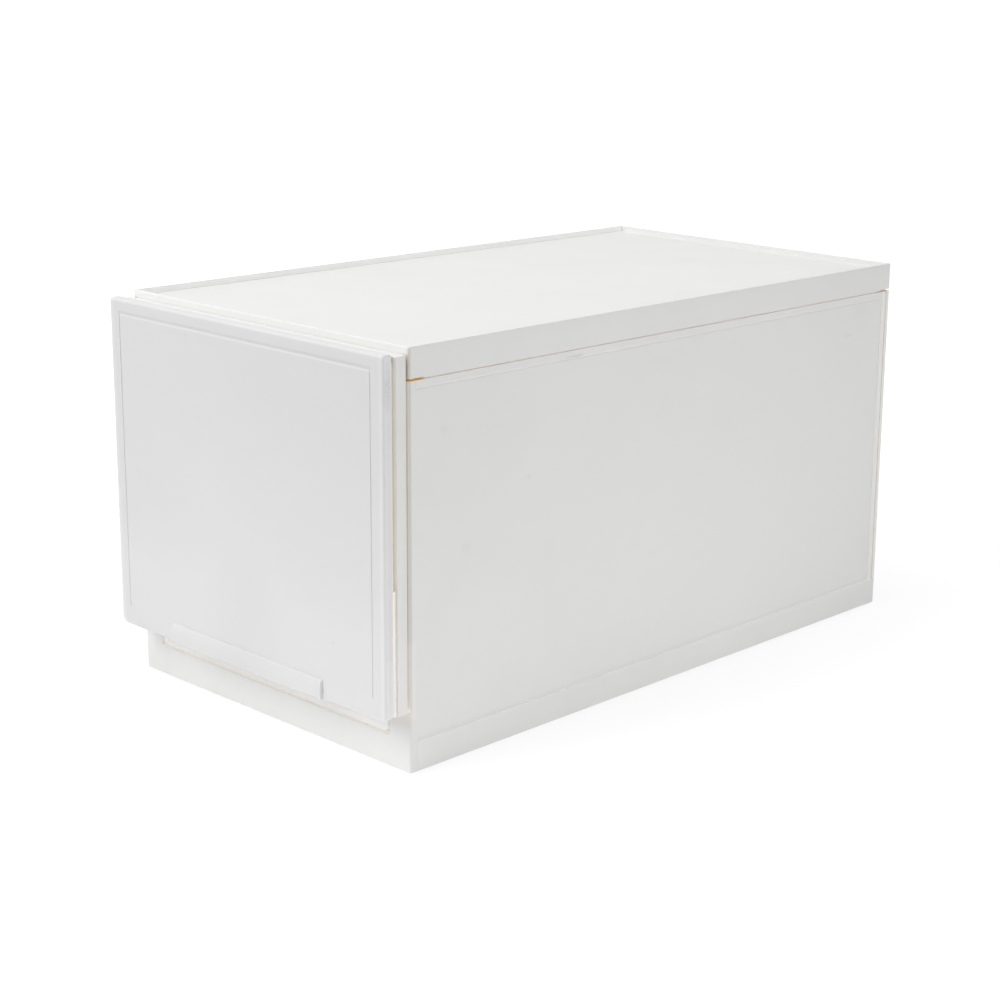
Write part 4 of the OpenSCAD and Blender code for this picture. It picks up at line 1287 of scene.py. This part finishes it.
class DRAWERBOX_OT_facing(Operator):
    """Models the facing: rounded shell, grooved outline of its field, finger lip and bosses"""
    bl_idname = "drawer_box.facing"
    bl_label = "Facing"

    def execute(self, context):
        drawer = context.scene.drawer_box_drawer
        low, high = FACING
        skin = drawer.facing_skin
        front = low.y + drawer.lip_out
        rear = PLATE[0].y - drawer.facing_gap
        facing = block("facing_shell", (low.x, front, low.z), (high.x, rear, high.z))
        round_edges(facing, edge_along(Y, z=low.z), drawer.low_corner)

        def outline(a, b):
            return edge_in(Y, front)(a, b) or edge_along(Y, z=high.z)(a, b)
        round_edges(facing, outline, drawer.facing_round)
        cut(facing, self.groove(drawer, low, high, front))
        cut_box(facing, (low.x + skin, front + skin, low.z + skin),
                (high.x - skin, rear + CLEAR, high.z - skin))
        fuse(facing, self.lip(drawer, low, front))
        fuse(facing, *screw_rods(drawer, drawer.boss, front + skin, PLATE[0].y))
        lip_x = drawer.lip_half - skin
        cut_box(facing, (-lip_x, front + skin - drawer.lip_hollow, low.z - CLEAR),
                (lip_x, rear + CLEAR, low.z + drawer.lip_height - drawer.lip_roof))
        finish_edges(facing, drawer.edge_radius, segments=2)
        cut(facing, *screw_rods(drawer, drawer.bore, front + skin, PLATE[0].y + CLEAR))
        dress(facing, "drawer", "facing_plastic", ["front_facing"], "satin facing")
        return {"FINISHED"}

    def groove(self, drawer, low, high, front):
        """Tool for the groove that runs up, across and down, with sloping walls"""
        x = high.x - drawer.groove_border
        z0, z1 = low.z + drawer.groove_end, high.z - drawer.groove_top
        width, floor_y = drawer.groove_width, front + drawer.groove_depth
        tool = block("groove", (-x, front - CLEAR, z0), (x, floor_y, z1))
        cut_box(tool, (-x + width, front - 2 * CLEAR, z0 - CLEAR),
                (x - width, floor_y + CLEAR, z1 - width))
        round_edges(tool, edge_in(Y, floor_y), drawer.groove_depth / 3, segments=1)
        return tool

    def lip(self, drawer, low, front):
        """Convex strip along the lower edge, creased where it meets the field"""
        x, out, z0 = drawer.lip_half, drawer.lip_out, low.z + drawer.lip_lift
        height = drawer.lip_height - drawer.lip_lift
        lip = block("lip", (-x, front - out, z0), (x, front + drawer.facing_round, z0 + height))
        # Shares of the height, and of how far the lip stands out there
        rows = [(0.0, 0.72), (0.04, 0.90), (0.10, 1.0)]
        crown, steps = 0.45, 9
        for i in range(steps):
            turn = i / steps * pi / 2
            rows.append((crown + (1 - crown) * sin(turn), cos(turn)))
        for share_up, _ in rows[1:]:
            slice_at(lip, Z, z0 + share_up * height)
        for share_up, share_out in [*rows, (1.0, 0.0)]:
            z = z0 + share_up * height
            shift(lip, lambda point: abs(point.z - z) < SNAP and point.y < front,
                  (0, out * (1 - share_out), 0))
        return lip


class DRAWERBOX_OT_inner_parts(Operator):
    """Finishes the rails, stops, pins and screws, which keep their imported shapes"""
    bl_idname = "drawer_box.inner_parts"
    bl_label = "Inner parts"

    def execute(self, context):
        shown = [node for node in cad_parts.values() if not node.hide_render]
        for node in shown:
            name = "zinc plated steel" if "screws" in node.name else "satin inside"
            node.data.materials.clear()
            node.data.materials.append(bpy.data.materials[name])
        return {"FINISHED"}


# ---- Stage ----

# Name, place and size of the lamps
LAMPS = (
    ("key", (-0.9, -2.0, 1.7), 1.6),
    ("top", (0.0, 0.2, 2.4), 1.8),
    ("fill", (2.4, 0.1, 1.2), 1.6),
)
# Centre and radius of the bright pools on the floor
FRONT_POOL = ((0.0, -0.42, 0.0), 0.42)
SIDE_POOL = ((0.40, 0.0, 0.0), 0.65)
FLOOR_SIZE = 40


def lamp(name, place, size, watts):
    """Square area lamp that points at the middle of the box"""
    deselect()
    bpy.ops.object.light_add(type="AREA", location=place)
    made = bpy.context.object
    made.name = name
    made.data.size = size
    made.data.energy = watts
    made.visible_camera = False
    aim = Vector((0, 0, TOP_Z / 2)) - Vector(place)
    made.rotation_euler = aim.to_track_quat("-Z", "Y").to_euler()


def camera_only_mask(tree):
    """1 for rays that reach the camera straight, by a reflection or through glass"""
    rays = add(tree, "ShaderNodeLightPath").outputs
    seen = maths(tree, "MAXIMUM", rays["Is Camera Ray"], rays["Is Glossy Ray"])
    return maths(tree, "MAXIMUM", seen, rays["Is Transmission Ray"])


def mix_for_camera(tree, unseen, seen):
    """Shader for bounced light, and another for what the camera sees"""
    made = add(tree, "ShaderNodeMixShader", {0: camera_only_mask(tree), 1: unseen, 2: seen})
    return made.outputs[0]


def lit_floor(tree, tone, strength):
    """Matt floor of a grey tone that also gives light"""
    matt = add(tree, "ShaderNodeBsdfDiffuse", {"Color": grey(tone)}).outputs[0]
    light = add(tree, "ShaderNodeEmission", {"Color": grey(1.0), "Strength": strength}).outputs[0]
    return add(tree, "ShaderNodeAddShader", {0: matt, 1: light}).outputs[0]


def floor_material(stage):
    """Pale floor that looks white, keeps a soft shadow and bounces light in two bright pools"""
    build_pool_group()
    pale = bpy.data.materials.new("pale_floor")
    tree = cleared_tree(pale)
    place = tree.nodes.new("ShaderNodeTexCoord").outputs["Object"]
    near = place_group(tree, "Light pool", {"Vector": place, "Radius": stage.floor_reach})
    dimmed = maths(tree, "MULTIPLY", near, 1.0 - stage.floor_light)
    seen = lit_floor(tree, stage.floor_shade, maths(tree, "SUBTRACT", 1.0, dimmed))
    pools = []
    for (centre, radius), strength in ((FRONT_POOL, stage.front_pool),
                                       (SIDE_POOL, stage.side_pool)):
        pool = place_group(tree, "Light pool",
                           {"Vector": place, "Centre": centre, "Radius": radius})
        pools.append(maths(tree, "MULTIPLY", strength, pool))
    plain = lit_floor(tree, stage.floor_colour, maths(tree, "ADD", *pools))
    add(tree, "ShaderNodeOutputMaterial", {"Surface": mix_for_camera(tree, plain, seen)})
    return pale


def light_world(stage):
    """Even light all round, and a white background where it is seen"""
    world = bpy.data.worlds.new("studio")
    bpy.context.scene.world = world
    tree = cleared_tree(world)
    even, white = (add(tree, "ShaderNodeBackground", {"Color": grey(1.0), "Strength": strength})
                   for strength in (stage.sky, 1.0))
    chosen = mix_for_camera(tree, even.outputs[0], white.outputs[0])
    add(tree, "ShaderNodeOutputWorld", {"Surface": chosen})


class DRAWERBOX_OT_stage(Operator):
    """Sets up the floor, the soft lamps, the white surroundings and the camera"""
    bl_idname = "drawer_box.stage"
    bl_label = "Stage"

    def execute(self, context):
        stage = context.scene.drawer_box_stage
        deselect()
        bpy.ops.mesh.primitive_plane_add(size=FLOOR_SIZE, location=(0, 0, 0))
        floor = context.object
        floor.name = "floor"
        floor.data.materials.append(floor_material(stage))
        light_world(stage)
        for name, place, size in LAMPS:
            lamp(name, place, size, getattr(stage, name + "_watts"))
        self.add_camera(context, stage)
        context.scene.view_settings.view_transform = "Standard"
        return {"FINISHED"}

    def add_camera(self, context, stage):
        deselect()
        bpy.ops.object.camera_add(location=stage.camera_place)
        camera = context.object
        turn = (Matrix.Rotation(stage.azimuth, 3, "Z")
                @ Matrix.Rotation(pi / 2 - stage.elevation, 3, "X")
                @ Matrix.Rotation(stage.roll, 3, "Z"))
        camera.rotation_euler = turn.to_euler()
        camera.data.lens = stage.lens
        camera.data.shift_x = stage.shift_x
        camera.data.shift_y = stage.shift_y
        context.scene.camera = camera


class DRAWERBOX_PT_panel(Panel):
    """Lists the steps that dress the drawer box"""
    bl_idname = "DRAWERBOX_PT_panel"
    bl_label = "Drawer Box"
    bl_space_type = "VIEW_3D"
    bl_region_type = "UI"
    bl_category = "Drawer Box"

    def draw(self, context):
        for operator in OPERATORS:
            self.layout.operator(operator.bl_idname)


GROUPS = {
    "drawer_box_case": DrawerBoxCase,
    "drawer_box_drawer": DrawerBoxDrawer,
    "drawer_box_finish": DrawerBoxFinish,
    "drawer_box_stage": DrawerBoxStage,
}
OPERATORS = (
    DRAWERBOX_OT_finishes, DRAWERBOX_OT_lid, DRAWERBOX_OT_front_frame, DRAWERBOX_OT_side_panels,
    DRAWERBOX_OT_back_panel, DRAWERBOX_OT_base_pan, DRAWERBOX_OT_tub, DRAWERBOX_OT_bezel,
    DRAWERBOX_OT_plate, DRAWERBOX_OT_facing, DRAWERBOX_OT_inner_parts, DRAWERBOX_OT_stage,
)


def register():
    for group in GROUPS.values():
        bpy.utils.register_class(group)
    for operator in OPERATORS:
        bpy.utils.register_class(operator)
    bpy.utils.register_class(DRAWERBOX_PT_panel)
    for name, group in GROUPS.items():
        setattr(bpy.types.Scene, name, PointerProperty(type=group))


def unregister():
    for name in GROUPS:
        delattr(bpy.types.Scene, name)
    bpy.utils.unregister_class(DRAWERBOX_PT_panel)
    for operator in reversed(OPERATORS):
        bpy.utils.unregister_class(operator)
    for group in reversed(GROUPS.values()):
        bpy.utils.unregister_class(group)


def main():
    register()
    bpy.ops.drawer_box.finishes()
    bpy.ops.drawer_box.lid()
    bpy.ops.drawer_box.front_frame()
    bpy.ops.drawer_box.side_panels()
    bpy.ops.drawer_box.back_panel()
    bpy.ops.drawer_box.base_pan()
    bpy.ops.drawer_box.tub()
    bpy.ops.drawer_box.bezel()
    bpy.ops.drawer_box.plate()
    bpy.ops.drawer_box.facing()
    bpy.ops.drawer_box.inner_parts()
    bpy.ops.drawer_box.stage()


if __name__ == "__main__":
    main()
